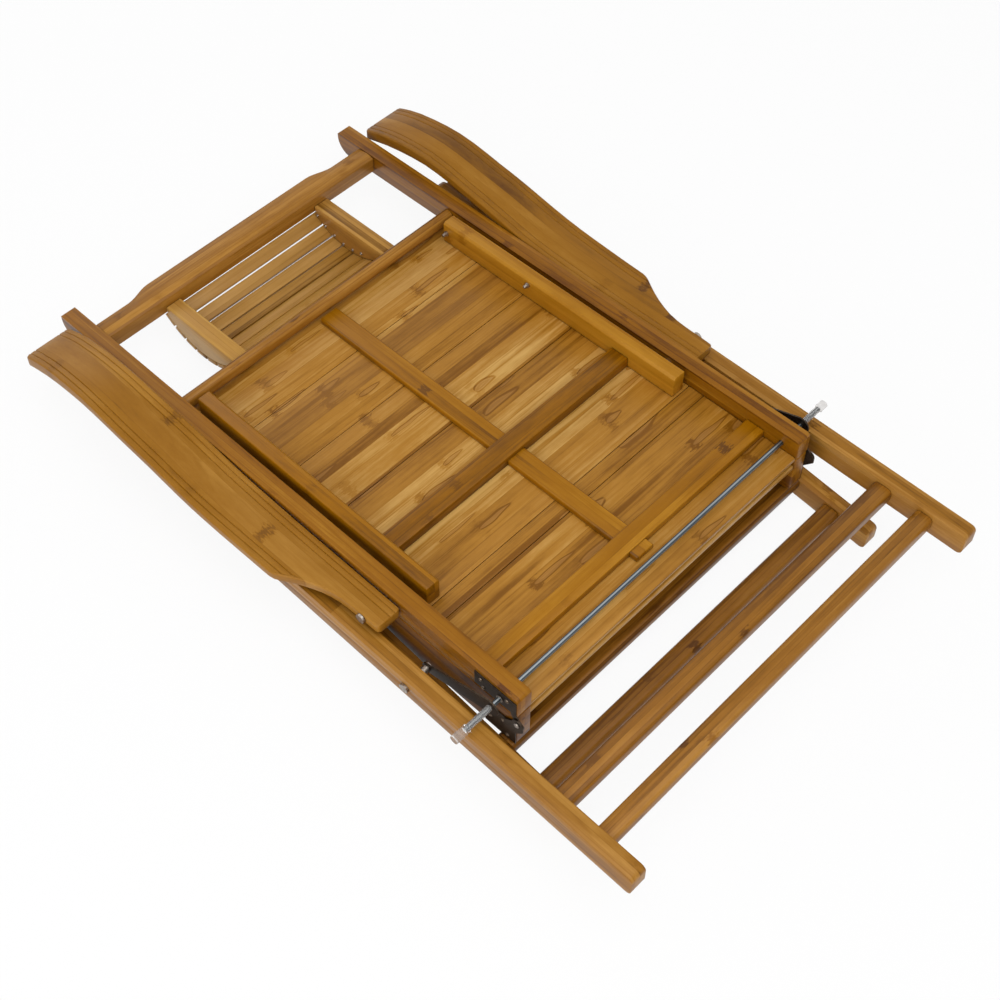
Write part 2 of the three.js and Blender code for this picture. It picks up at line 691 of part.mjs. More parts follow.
// Both hinge plates lie flat on the rails; the seat's steps out to pass the other's eye.
function addHingePlates() {
  const eye = { ...HINGE };
  const backLeaf = [
    ...arc(eye.x, eye.z, LEAF_DISC_RADIUS, -205, 20, 3 * CORNER_STEPS),
    [-LEAF_END_MARGIN, -RAIL_DEPTH + LEAF_MARGIN],
    [-LEAF_END_MARGIN, -LEAF_TOP_MARGIN],
    [-BACK_LEAF_LENGTH, -LEAF_TOP_MARGIN],
    [-BACK_LEAF_LENGTH, -RAIL_DEPTH + LEAF_MARGIN],
    [-LEAF_END_MARGIN - LEAF_DISC_RADIUS, -RAIL_DEPTH + LEAF_MARGIN],
  ];
  const rodHole = { ...ROD, radius: ROD_RADIUS + HOLE_PLAY };
  const leafEnd = LEAF_START + LEAF_THICKNESS;
  const knuckleEnd = KNUCKLE_START + LEAF_THICKNESS;
  addPair(
    "back_hinge_leaf",
    () =>
      joined(
        plate(backLeaf, LEAF_START, leafEnd, [rodHole]),
        pin(LEAF_PIN_RADIUS, leafEnd - LEAF_THICKNESS / 2, knuckleEnd, eye),
      ),
    COLOURS.steel,
  );

  const low = SEAT_BOTTOM + LEAF_MARGIN;
  const reliefEnd = eye.z - LEAF_RELIEF;
  const neckLow = reliefEnd - NECK_DEPTH;
  const neckBack = -LEAF_END_MARGIN - 2 * LEAF_DISC_RADIUS;
  const seatLeaf = [
    [-SEAT_LEAF_LENGTH, low],
    [-LEAF_END_MARGIN, low],
    [-LEAF_END_MARGIN, reliefEnd],
    [-SEAT_LEAF_LENGTH, reliefEnd],
  ];
  const step = [
    [neckBack, neckLow],
    [-LEAF_END_MARGIN, neckLow],
    [-LEAF_END_MARGIN, reliefEnd],
    [neckBack, reliefEnd],
  ];
  const knuckle = [
    ...arc(eye.x, eye.z, LEAF_DISC_RADIUS, 0, 180, 2 * CORNER_STEPS),
    [neckBack, reliefEnd],
    [neckBack, neckLow],
    [-LEAF_END_MARGIN, neckLow],
    [eye.x + LEAF_DISC_RADIUS, eye.z - LEAF_DISC_RADIUS],
  ];
  addPair(
    "seat_hinge_leaf",
    () =>
      joined(
        plate(seatLeaf, LEAF_START, leafEnd),
        plate(step, LEAF_START, knuckleEnd),
        plate(knuckle, KNUCKLE_START, knuckleEnd, [{ ...eye, radius: LEAF_PIN_RADIUS + RUNNING }]),
      ),
    COLOURS.steel,
  );
}

// A station of the nose, as a place in the chair's frame.
const noseStation = ([behind, above]) => [SEAT_FRONT + behind, NOSE_BOTTOM + above];

function addSeat() {
  const rail = [
    [SEAT_REAR - SEAT_CORNER, SEAT_BOTTOM],
    [SEAT_REAR, SEAT_BOTTOM + SEAT_CORNER],
    [SEAT_REAR, SEAT_TOP - BOARD_CORNER],
    [SEAT_REAR - BOARD_CORNER, SEAT_TOP],
    [NOSE_START, SEAT_TOP],
    ...NOSE_STATIONS.map(noseStation).toReversed(),
    [NOSE_BOTTOM_END, NOSE_BOTTOM],
    ...NOSE_EASE.map(([behind, below]) => [NOSE_START + behind, SEAT_BOTTOM - below]),
  ];
  addPair("seat_rail", () => plate(rail, RAIL_INSIDE, RAIL_OUTSIDE));

  const panelBottom = SEAT_PANEL_TOP - SEAT_PANEL_THICKNESS;
  const pitch = (NOSE_START - SEAT_REAR) / SEAT_BOARDS;
  for (let i = 0; i < SEAT_BOARDS; i += 1) {
    const near = SEAT_REAR + pitch * i;
    const outline = roundedBox(
      near + pitch + SEAT_BOARD_GAP / 2,
      panelBottom,
      near - SEAT_BOARD_GAP / 2,
      SEAT_PANEL_TOP,
      BOARD_CORNER,
    );
    add(`seat_board_${i + 1}`, crossbar(outline, PANEL_SPAN));
  }

  // The front board follows the nose of the rails, a little inside it.
  const start = NOSE_START - SEAT_BOARD_GAP;
  const front = [
    ...FRONT_BOARD_OUTSIDE.map(noseStation),
    [start, SEAT_PANEL_TOP],
    [start, panelBottom],
    ...FRONT_BOARD_INSIDE.map(noseStation),
  ];
  add("seat_front_board", crossbar(front, PANEL_SPAN));

  const barTop = panelBottom - SEATED;
  const bar = roundedBox(
    REAR_BAR_FRONT - REAR_BAR_WIDTH,
    barTop - REAR_BAR_DEPTH,
    REAR_BAR_FRONT,
    barTop,
    SEAT_CORNER,
  );
  add("seat_rear_bar", crossbar(bar, PANEL_SPAN));
}

// The two rounded corners of a leg's foot.
function footCorners(x, bottom, top) {
  const radius = FOOT_RADIUS;
  return [
    ...arc(x - radius, bottom + radius, radius, -90, 0, CORNER_STEPS),
    ...arc(x - radius, top - radius, radius, 0, 90, CORNER_STEPS),
  ];
}

function addOuterLegs() {
  const bottom = (x) => outerTop(x) - OUTER_DEPTH;
  const radius = OUTER_HEAD_RADIUS;
  const head = OUTER_HEAD;
  const leg = [
    ...footCorners(OUTER_FOOT, bottom(OUTER_FOOT), outerTop(OUTER_FOOT)),
    ...arc(head + radius, outerTop(head) - radius, radius, 90, 180, CORNER_STEPS),
    ...arc(head + radius, bottom(head) + radius, radius, 180, 270, CORNER_STEPS),
  ];
  const holes = [
    { ...STRAP_PIN, radius: BOLT_RADIUS + HOLE_PLAY },
    { ...LEG_PIN, radius: LEG_BOLT_RADIUS + HOLE_PLAY },
  ];
  addPair("outer_leg", () => plate(leg, OUTER_INSIDE, OUTER_OUTSIDE, holes));

  for (const { name, behind, width } of OUTER_BARS) {
    const to = OUTER_FOOT - behind;
    const from = to - width;
    const middle = outerTop((from + to) / 2) - OUTER_DEPTH / 2;
    const half = CROSSBAR_DEPTH / 2;
    const outline = roundedBox(from, middle - half, to, middle + half, CROSSBAR_CORNER);
    add(name, crossbar(outline, 2 * (OUTER_INSIDE - SEATED)));
  }

  const headStart = OUTER_OUTSIDE + SEATED;
  const tipStart = STRAP_START - SEATED - THIN_HEAD;
  const spacerStart = STRAP_START + STRAP_THICKNESS + SEATED;
  addPair(
    "strap_bolt",
    () =>
      joined(
        pin(BOLT_RADIUS, tipStart, headStart + HEAD_THICKNESS, STRAP_PIN),
        pin(BOLT_HEAD, headStart, headStart + HEAD_THICKNESS, STRAP_PIN),
        pin(BOLT_HEAD, tipStart, tipStart + THIN_HEAD, STRAP_PIN),
        pin(SPACER_RADIUS, spacerStart, OUTER_INSIDE - SEATED, STRAP_PIN),
      ),
    COLOURS.steel,
  );
}

function addInnerLegs() {
  const bottom = (x) => innerTop(x) - INNER_DEPTH;
  const radius = INNER_DEPTH / 2 - BOARD_CORNER;
  const head = INNER_HEAD;
  const leg = [
    ...footCorners(INNER_FOOT, bottom(INNER_FOOT), innerTop(INNER_FOOT)),
    ...arc(head + radius, innerTop(head) - radius, radius, 90, 180, CORNER_STEPS),
    ...arc(head + radius, bottom(head) + radius, radius, 180, 270, CORNER_STEPS),
  ];
  const holes = [{ ...LEG_PIN, radius: LEG_BOLT_RADIUS + RUNNING }];
  addPair("inner_leg", () => plate(leg, INNER_INSIDE, INNER_OUTSIDE, holes));

  for (const { name, behind, width, sink, depth } of INNER_BARS) {
    const to = INNER_FOOT - behind;
    const top = innerTop(to - width / 2) - sink;
    const outline = roundedBox(to - width, top - depth, to, top, CROSSBAR_CORNER);
    add(name, crossbar(outline, 2 * (INNER_INSIDE - SEATED)));
  }

  // The pin has a collar between the legs, which keeps the strap's room open.
  const headStart = OUTER_OUTSIDE + SEATED;
  const tipStart = RAIL_OUTSIDE + 2 * SEATED;
  addPair(
    "leg_pivot_pin",
    () =>
      joined(
        pin(LEG_BOLT_RADIUS, tipStart, headStart + HEAD_THICKNESS, LEG_PIN),
        pin(LEG_BOLT_HEAD, headStart, headStart + HEAD_THICKNESS, LEG_PIN),
        pin(LEG_BOLT_HEAD, INNER_OUTSIDE + SEATED, OUTER_INSIDE - SEATED, LEG_PIN),
        pin(LEG_BOLT_HEAD, tipStart, INNER_INSIDE - SEATED, LEG_PIN),
      ),
    COLOURS.steel,
  );
}

function addStraps() {
  const outline = belt(ROD, STRAP_WIDE_RADIUS, STRAP_PIN, STRAP_NARROW_RADIUS);
  const holes = [
    { ...ROD, radius: ROD_RADIUS + RUNNING },
    { ...STRAP_PIN, radius: BOLT_RADIUS + RUNNING },
  ];
  addPair(
    "strap",
    () => plate(outline, STRAP_START, STRAP_START + STRAP_THICKNESS, holes),
    COLOURS.steel,
  );
}

// The armrest at a place along it, straight between the rows of the plan.
function armAt(x) {
  const i = ARM_PLAN.findIndex((row, k) => k > 0 && row[0] <= x);
  const [a, b] = [ARM_PLAN[i - 1], ARM_PLAN[i]];
  const at = (k) => THREE.MathUtils.mapLinear(x, a[0], b[0], a[k], b[k]);
  return {
    innerEdge: RAIL_OUTSIDE + at(1),
    outerEdge: RAIL_OUTSIDE + at(2),
    top: at(3),
    underside: at(3) - at(4),
  };
}

// The places of the loops round the arm, each with how far its corners are rounded off there.
function armStations() {
  const [rear, tip] = [ARM_PLAN[0][0], ARM_PLAN.at(-1)[0]];
  const turn = Array.from({ length: ARM_CORNER_STEPS + 1 }, (_, i) => {
    const angle = (i * Math.PI) / (2 * ARM_CORNER_STEPS);
    return { along: ARM_CORNER * (1 - Math.cos(angle)), inset: ARM_CORNER * (1 - Math.sin(angle)) };
  });
  const between = ARM_PLAN.map(([x]) => x).filter(
    (x) => x < rear - ARM_CORNER - SEATED && x > tip + ARM_CORNER + SEATED,
  );
  return [
    ...turn.map(({ along, inset }) => ({ x: rear - along, inset })),
    ...between.map((x) => ({ x, inset: 0 })),
    ...turn.map(({ along, inset }) => ({ x: tip + along, inset })).toReversed(),
  ];
}

// The top of the arm from one edge to the middle, with a groove at each inset that has room.
function grooves(edge, line, sign) {
  const half = GROOVE_WIDTH / 2;
  const nearest = edge + sign * (ARM_EDGE_BEVEL + GROOVE_LEAST_STEP);
  return GROOVE_INSETS.flatMap((inset, i) => {
    const room = sign * (line + sign * (inset - half) - nearest) > i * 2 * half;
    const step = 3 * i * GROOVE_LEAST_STEP;
    const spots = room
      ? [inset - half, inset, inset + half].map((y) => line + sign * y)
      : [0, 1, 2].map((k) => nearest + sign * (step + k * GROOVE_LEAST_STEP));
    return spots.map((y, k) => [y, room && k === 1 ? GROOVE_DEPTH : 0]);
  });
}

// One loop round the arm: flat below, with two grooves along each edge of the top.
function armLoop({ x, inset }) {
  const { innerEdge, outerEdge, top, underside } = armAt(x);
  const [inside, outside] = [innerEdge + inset, outerEdge - inset];
  const bevel = ARM_EDGE_BEVEL;
  const down = ([y, depth]) => [y, top - depth];
  const outerLine = Math.max(outerEdge, RAIL_OUTSIDE + GROOVE_LINE_REACH);
  const loop = [
    [inside + bevel, underside],
    [inside, underside + bevel],
    [inside, top - bevel],
    [inside + bevel, top],
    ...grooves(inside, innerEdge, 1).map(down),
    ...grooves(outside, outerLine, -1).map(down).toReversed(),
    [outside - bevel, top],
    [outside, top - bevel],
    [outside, underside + bevel],
    [outside - bevel, underside],
  ];
  return loop.map(([y, z]) => [x, y, z]);
}

function addArms() {
  const edge = armAt(ARM_PIN.x - BOLT_HEAD).outerEdge;
  const bore = pin(BOLT_RADIUS + RUNNING, RAIL_INSIDE, edge + HEAD_THICKNESS, ARM_PIN);
  addPair("armrest", () => without(loft(armStations().map(armLoop)), bore));

  // Each bracket hangs under the arm, outside the leg, down to the front pivot.
  const { x, z } = BRACKET_PIN;
  const [x0, x1] = [x - BRACKET_HALF_LENGTH, x + BRACKET_HALF_LENGTH];
  const under = [x1, ...ARM_PLAN.map(([at]) => at).filter((at) => at > x0 && at < x1), x0];
  const top = under.map((at) => [at, armAt(at).underside - SEATED]);
  const upright = [...arc(x, z, BRACKET_DROP, -180, 0, 2 * CORNER_STEPS), ...top];
  const flange = [...top, ...top.map(([at, up]) => [at, up - BRACKET_THICKNESS]).toReversed()];
  addPair(
    "arm_bracket",
    () =>
      joined(
        plate(upright, BRACKET_START, BRACKET_START + BRACKET_THICKNESS),
        plate(flange, BRACKET_START, BRACKET_START + BRACKET_FLANGE),
      ),
    COLOURS.steel,
  );

  const nutStart = RAIL_INSIDE - SEATED - HEAD_THICKNESS;
  addPair(
    "arm_bolt",
    () =>
      joined(
        pin(BOLT_RADIUS, nutStart, edge + SEATED + HEAD_THICKNESS, ARM_PIN),
        pin(BOLT_HEAD, edge + SEATED, edge + SEATED + HEAD_THICKNESS, ARM_PIN),
        pin(BOLT_HEAD, nutStart, nutStart + HEAD_THICKNESS, ARM_PIN, NUT_STEPS),
      ),
    COLOURS.steel,
  );
}

addBackrestFrame();
addTopCrossbar();
addHeadrest();
addSecondCrossbar();
addBackBoards();
addStiffeningFrame();
addRod();
addHingePlates();
addSeat();
addOuterLegs();
addInnerLegs();
addStraps();
addArms();

// The folded chair lies on its inner feet and on the nose of the seat.
function restingTilt() {
  const [noseX, noseZ] = noseStation(NOSE_STATIONS[0]);
  const bottom = innerTop(INNER_FOOT) - INNER_DEPTH;
  const foot = footCorners(INNER_FOOT, bottom, innerTop(INNER_FOOT));
  return Math.max(...foot.map(([x, z]) => Math.atan2(noseZ - z, x - noseX)));
}

chair.rotation.y = -restingTilt();
chair.updateMatrixWorld(true);
const bounds = new THREE.Box3().setFromObject(chair, true);
const middle = bounds.getCenter(new THREE.Vector3());
chair.position.set(-middle.x, -middle.y, -bounds.min.z);

const group = new THREE.Group();
group.add(chair);

export default group;
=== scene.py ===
"""Looks of the folding bamboo recliner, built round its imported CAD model.

Metres, in the CAD model's frame. Sizes that follow the chair itself are written in the
chair's own frame, in millimetres: x from the hinge end of the backrest rails (0) towards
the headrest (minus) and the feet (plus), y across, z up from the rails' upper edge.
"""

import json
import math

import bmesh
import bpy
from mathutils import Matrix, Vector


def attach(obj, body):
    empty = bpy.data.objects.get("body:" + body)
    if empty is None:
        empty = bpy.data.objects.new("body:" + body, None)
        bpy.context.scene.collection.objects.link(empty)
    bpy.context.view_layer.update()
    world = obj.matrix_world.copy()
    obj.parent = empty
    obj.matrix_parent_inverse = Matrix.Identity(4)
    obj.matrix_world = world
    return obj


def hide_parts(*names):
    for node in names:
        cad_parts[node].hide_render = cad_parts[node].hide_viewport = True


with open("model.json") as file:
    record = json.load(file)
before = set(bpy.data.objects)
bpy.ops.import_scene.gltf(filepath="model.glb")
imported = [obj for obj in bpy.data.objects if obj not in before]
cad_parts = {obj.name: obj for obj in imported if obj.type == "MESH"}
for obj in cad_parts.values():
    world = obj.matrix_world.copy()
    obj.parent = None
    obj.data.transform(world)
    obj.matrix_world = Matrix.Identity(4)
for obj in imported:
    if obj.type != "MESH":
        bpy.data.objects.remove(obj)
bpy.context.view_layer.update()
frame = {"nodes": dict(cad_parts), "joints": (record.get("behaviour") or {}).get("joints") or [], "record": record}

MM = 0.001

# The chair's own frame in the model's frame

# Two pivots known in both frames give the tilt of the folded chair and its place.
HINGE_MM = Vector((2.5, 0.0, -41.0))
LEG_PIN_MM = Vector((-622.0, 0.0, -36.5))
PIVOTS = {joint["name"]: Vector(joint["pos_m"]) for joint in frame["joints"]}


def chair_frame():
    """The matrix from the chair's frame, in millimetres, to the model's, in metres."""
    here = (LEG_PIN_MM - HINGE_MM) * MM
    there = PIVOTS["inner_leg_swing"] - PIVOTS["back_fold"]
    tilt = math.atan2(here.z, here.x) - math.atan2(there.z, there.x)
    turn = Matrix.Rotation(tilt, 4, "Y") @ Matrix.Scale(MM, 4)
    shift = PIVOTS["back_fold"] - (turn @ HINGE_MM)
    return Matrix.Translation(shift) @ turn, tilt


CHAIR, TILT = chair_frame()

# Camera, fitted to the straight edges of the photographed chair

LENS_PX = 1650.77
IMAGE_PX = 1000
SENSOR_MM = 36.0
CENTRE_PX = (424.78, 426.77)
NEAREST, FARTHEST = 0.05, 50.0
CAMERA_MM = Vector((580.186, -886.732, 1523.560))
CAMERA_RIGHT = Vector((0.7015452, 0.7118486, -0.0332555))
CAMERA_DOWN = Vector((0.5389436, -0.5605174, -0.6287766))
CAMERA_AHEAD = Vector((-0.4662340, 0.4231924, -0.7768745))


def make_camera():
    data = bpy.data.cameras.new("photo_camera")
    data.sensor_width = SENSOR_MM
    data.lens = LENS_PX / IMAGE_PX * SENSOR_MM
    data.shift_x = 0.5 - CENTRE_PX[0] / IMAGE_PX
    data.shift_y = CENTRE_PX[1] / IMAGE_PX - 0.5
    data.clip_start, data.clip_end = NEAREST, FARTHEST
    camera = bpy.data.objects.new("photo_camera", data)
    turn = Matrix((CAMERA_RIGHT, -CAMERA_DOWN, -CAMERA_AHEAD)).transposed()
    level = Matrix.Rotation(TILT, 3, "Y")
    camera.matrix_world = Matrix.Translation(CHAIR @ CAMERA_MM) @ (level @ turn).to_4x4()
    bpy.context.scene.collection.objects.link(camera)
    bpy.context.scene.camera = camera


make_camera()

# Shader building


class Graph:
    """Adds nodes to a shader tree and links them by value."""

    def __init__(self, tree):
        self.tree = tree

    def node(self, kind, inputs=(), **settings):
        made = self.tree.nodes.new(kind)
        for name, value in settings.items():
            setattr(made, name, value)
        for socket, value in dict(inputs).items():
            self.feed(made.inputs[socket], value)
        return made

    def feed(self, socket, value):
        if isinstance(value, bpy.types.NodeSocket):
            self.tree.links.new(value, socket)
        else:
            socket.default_value = value

    def math(self, operation, *values, clamp=False):
        made = self.node("ShaderNodeMath", operation=operation, use_clamp=clamp)
        for socket, value in zip(made.inputs, values):
            self.feed(socket, value)
        return made.outputs[0]

    def swing(self, value, span):
        """A value from 0 to 1 as one from minus to plus half the span."""
        return self.math("MULTIPLY_ADD", value, span, -span / 2)

    def lower(self, tone, mask, strength, clamp=False):
        """The tone, darker by the strength where the mask is 1."""
        return self.math("SUBTRACT", tone, self.math("MULTIPLY", mask, strength), clamp=clamp)

    def ramp(self, value, low, high, to_low=0.0, to_high=1.0):
        """A smooth step from to_low at low to to_high at high."""
        inputs = {0: value, 1: low, 2: high, 3: to_low, 4: to_high}
        made = self.node("ShaderNodeMapRange", inputs, interpolation_type="SMOOTHSTEP")
        return made.outputs[0]

    def mix(self, share, first, second):
        made = self.node("ShaderNodeMix", data_type="RGBA")
        for place, value in zip((0, 6, 7), (share, first, second)):
            self.feed(made.inputs[place], value)
        return made.outputs[2]

    def mix_shaders(self, share, first, second):
        return self.node("ShaderNodeMixShader", {0: share, 1: first, 2: second}).outputs[0]

    def vector(self, x, y, z):
        return self.node("ShaderNodeCombineXYZ", {0: x, 1: y, 2: z}).outputs[0]

    def noise(self, vector, scale, detail=2.0, roughness=0.5):
        inputs = {"Vector": vector, "Scale": scale, "Detail": detail, "Roughness": roughness}
        return self.node("ShaderNodeTexNoise", inputs).outputs[0]

    def random(self, x, y, z):
        """A random value and the three parts of a random colour for a cell."""
        cell = {"Vector": self.vector(x, y, z)}
        made = self.node("ShaderNodeTexWhiteNoise", cell, noise_dimensions="3D")
        parts = self.node("ShaderNodeSeparateColor", {0: made.outputs[1]})
        return made.outputs[0], parts.outputs

    def place(self):
        """The place on the piece, in metres."""
        return self.node("ShaderNodeTexCoord").outputs["Object"]


def new_group(name, inputs, outputs):
    tree = bpy.data.node_groups.new(name, "ShaderNodeTree")
    for label, kind, value in inputs:
        socket = tree.interface.new_socket(label, in_out="INPUT", socket_type=kind)
        if value is not None:
            socket.default_value = value
    for label, kind in outputs:
        tree.interface.new_socket(label, in_out="OUTPUT", socket_type=kind)
    source = tree.nodes.new("NodeGroupInput")
    sink = tree.nodes.new("NodeGroupOutput")
    return tree, Graph(tree), source.outputs, sink.inputs


# How the bamboo is drawn: lengths in metres, noise scales per metre, and strengths as
# shares of the tone, which runs from the darkest streak (0) to the palest (1)

FLOAT, COLOUR, VECTOR = "NodeSocketFloat", "NodeSocketColor", "NodeSocketVector"
BAMBOO_INPUTS = [
    ("Position", VECTOR, None),
    ("Strip Width", FLOAT, 0.02),
    ("Strip Depth", FLOAT, 0.02),
    ("Node Spacing", FLOAT, 0.28),
    ("Seed", FLOAT, 0.0),
    ("Contrast", FLOAT, 0.5),
    ("Streaks", FLOAT, 0.5),
    ("Eyes", FLOAT, 0.5),
    ("Dark", COLOUR, (0.1, 0.05, 0.02, 1)),
    ("Middle", COLOUR, (0.4, 0.22, 0.08, 1)),
    ("Light", COLOUR, (0.6, 0.4, 0.2, 1)),
    ("Rose", COLOUR, (0.4, 0.2, 0.1, 1)),
]
BAMBOO_OUTPUTS = [("Color", COLOUR), ("Roughness", FLOAT), ("Height", FLOAT)]

# Strips of uneven width
WIDTH_SCALE, WIDTH_SWING, SEED_STEP = 38.0, 1.6, 3.7
SEAM_EDGE, SEAM_CORE, SEAM_STRENGTH = 0.0007, 0.0001, 0.16

# Cane nodes: one in each cell of a strip, somewhere in the cell's middle part
CELL_SHIFT, CELL_SEED = 9.0, 17.0
NODE_SPAN, NODE_FROM = 0.4, 0.3
FEATHER_STRETCH, FEATHER_SCALE, FEATHER_REACH = 0.35, 420.0, 0.03
NODE_EDGE, NODE_CORE, NODE_STRENGTH = 0.0095, 0.002, 0.44
NODE_VARIES, NODE_FAINTEST = 0.95, 0.05

# Eyes: a drop-shaped outline with a second line inside it
EYE_WAVER_SCALE, EYE_WAVER = 22.0, 0.006
EYE_START, EYE_LONGER, EYE_LENGTH = 0.002, 0.050, 0.028
EYE_WIDER, EYE_HALF = 0.005, 0.006
EYE_OPENS, EYE_CLOSES = 0.04, 0.86
LINE_EDGE, LINE_CORE, EYE_STRENGTH = 0.0013, 0.0003, 0.44
SECOND_INSET, SECOND_EDGE, SECOND_CORE, SECOND_SHARE = 0.0022, 0.0009, 0.0002, 0.45
HEART_EDGE, HEART_ROSE = -0.0014, 0.55

# Streaks, veins and clouds: how far each is drawn out along the grain, and how fine it is
STRIP_SHIFT = 3.0
STREAK_STRETCH, VEIN_STRETCH, MOTTLE_STRETCH, CLOUD_STRETCH = 0.024, 0.02, 0.3, 0.2
FIBRE_SCALE, STREAK_SCALE, BAND_SCALE = 1300.0, 260.0, 95.0
VEIN_SCALE, MOTTLE_SCALE, CLOUD_SCALE = 62.0, 130.0, 22.0
VEIN_EDGE, VEIN_CORE, VEIN_STRENGTH = 0.020, 0.004, 0.26
BAND_FROM, BAND_TO, BAND_STRENGTH = 0.60, 0.74, 0.5
FIBRE_STRENGTH, CLOUD_STRENGTH = 0.16, 0.9
MOTTLE_MORE, MOTTLE_LEAST = 0.35, 0.14

# Where along the tone the three colours meet, and how rosy some strips are
MIDDLE_AT, LIGHT_FROM = 0.5, 0.42
ROSE_FROM, ROSE_SHARE = 0.6, 0.3
FIBRE_ROUGHNESS, LACQUER_ROUGHNESS = 0.16, 0.30


def bamboo_group():
    """Strips of bamboo glued side by side: tone of each strip, streaks, nodes and eyes."""
    tree, g, given, out = new_group("laminated_bamboo", BAMBOO_INPUTS, BAMBOO_OUTPUTS)
    parts = g.node("ShaderNodeSeparateXYZ", {0: given["Position"]}).outputs
    along, across, through = parts[0], parts[1], parts[2]
    width, seed = given["Strip Width"], given["Seed"]

    # Strips side by side, in layers
    row = g.vector(across, g.math("MULTIPLY", seed, SEED_STEP), 0.5)
    uneven = g.math("SUBTRACT", g.noise(row, WIDTH_SCALE, 1.0), 0.5)
    spread = g.math("MULTIPLY", uneven, g.math("MULTIPLY", width, WIDTH_SWING))
    lane_place = g.math("DIVIDE", g.math("ADD", across, spread), width)
    lane = g.math("FLOOR", lane_place)
    layer = g.math("FLOOR", g.math("DIVIDE", through, given["Strip Depth"]))
    inside = g.math("FRACT", lane_place)
    strip_value, strip = g.random(lane, layer, seed)

    # Cane nodes, at places of their own on each strip
    steps = g.math("DIVIDE", along, given["Node Spacing"])
    reach = g.math("ADD", steps, g.math("MULTIPLY", strip[0], CELL_SHIFT))
    cell_seed = g.math("ADD", layer, g.math("MULTIPLY", g.math("FLOOR", reach), CELL_SEED))
    cell_value, chance = g.random(lane, cell_seed, seed)
    shift = g.math("MULTIPLY_ADD", cell_value, NODE_SPAN, NODE_FROM)
    from_node = g.math("SUBTRACT", g.math("FRACT", reach), shift)
    distance = g.math("MULTIPLY", from_node, given["Node Spacing"])
    drawn = g.vector(g.math("MULTIPLY", along, FEATHER_STRETCH), across, through)
    feather = g.noise(drawn, FEATHER_SCALE, 2.0, 0.6)
    ragged = g.math("ADD", distance, g.swing(feather, FEATHER_REACH))
    blotch = g.ramp(g.math("ABSOLUTE", ragged), NODE_EDGE, NODE_CORE)
    varies = g.math("POWER", chance[2], 2.0)
    strength = g.math("MULTIPLY_ADD", varies, NODE_VARIES, NODE_FAINTEST)
    blotch = g.math("MULTIPLY", blotch, strength)

    # Eyes, which taper away from some of the nodes
    side = g.math("MULTIPLY", g.math("SUBTRACT", inside, 0.5), width)
    waver = g.noise(g.vector(along, cell_value, strip_value), EYE_WAVER_SCALE, 1.0)
    side = g.math("ADD", side, g.swing(waver, EYE_WAVER))
    length = g.math("MULTIPLY_ADD", chance[0], EYE_LONGER, EYE_LENGTH)
    part = g.math("DIVIDE", g.math("ADD", distance, EYE_START), length, clamp=True)
    taper = g.math("MULTIPLY", g.math("SQRT", part), g.math("SUBTRACT", 1.0, part))
    half = g.math("MULTIPLY_ADD", chance[2], EYE_WIDER, EYE_HALF)
    outline = g.math("SUBTRACT", g.math("ABSOLUTE", side), g.math("MULTIPLY", taper, half))
    chosen = g.math("LESS_THAN", chance[1], given["Eyes"])
    within = g.math("MULTIPLY", g.ramp(part, 0.0, EYE_OPENS), g.ramp(part, 1.0, EYE_CLOSES))
    chosen = g.math("MULTIPLY", chosen, within)
    line = g.ramp(g.math("ABSOLUTE", outline), LINE_EDGE, LINE_CORE)
    rim = g.math("MULTIPLY", line, chosen)
    inner = g.math("ABSOLUTE", g.math("ADD", outline, SECOND_INSET))
    line = g.ramp(inner, SECOND_EDGE, SECOND_CORE)
    second = g.math("MULTIPLY", line, g.math("MULTIPLY", chosen, SECOND_SHARE))
    rim = g.math("MAXIMUM", rim, second)
    heart = g.math("MULTIPLY", g.ramp(outline, 0.0, HEART_EDGE), chosen)

    # Streaks and fibres, drawn long along the grain
    own = g.math("MULTIPLY", strip[1], STRIP_SHIFT)

    def stretched(share, across_part, through_part):
        return g.vector(g.math("MULTIPLY_ADD", along, share, own), across_part, through_part)

    own_across, own_through = g.math("ADD", across, own), g.math("ADD", through, own)
    drawn = stretched(STREAK_STRETCH, own_across, own_through)
    fine = g.noise(drawn, FIBRE_SCALE, 2.0, 0.6)
    streak = g.noise(drawn, STREAK_SCALE, 3.0, 0.6)
    band = g.noise(drawn, BAND_SCALE, 1.0)
    vein = g.noise(stretched(VEIN_STRETCH, across, own_through), VEIN_SCALE, 2.0)
    vein = g.math("ABSOLUTE", g.math("SUBTRACT", vein, 0.5))
    veins = g.ramp(vein, VEIN_EDGE, VEIN_CORE)
    mottle = g.noise(stretched(MOTTLE_STRETCH, across, through), MOTTLE_SCALE, 3.0, 0.6)
    cloud = g.noise(stretched(CLOUD_STRETCH, across, through), CLOUD_SCALE, 2.0)

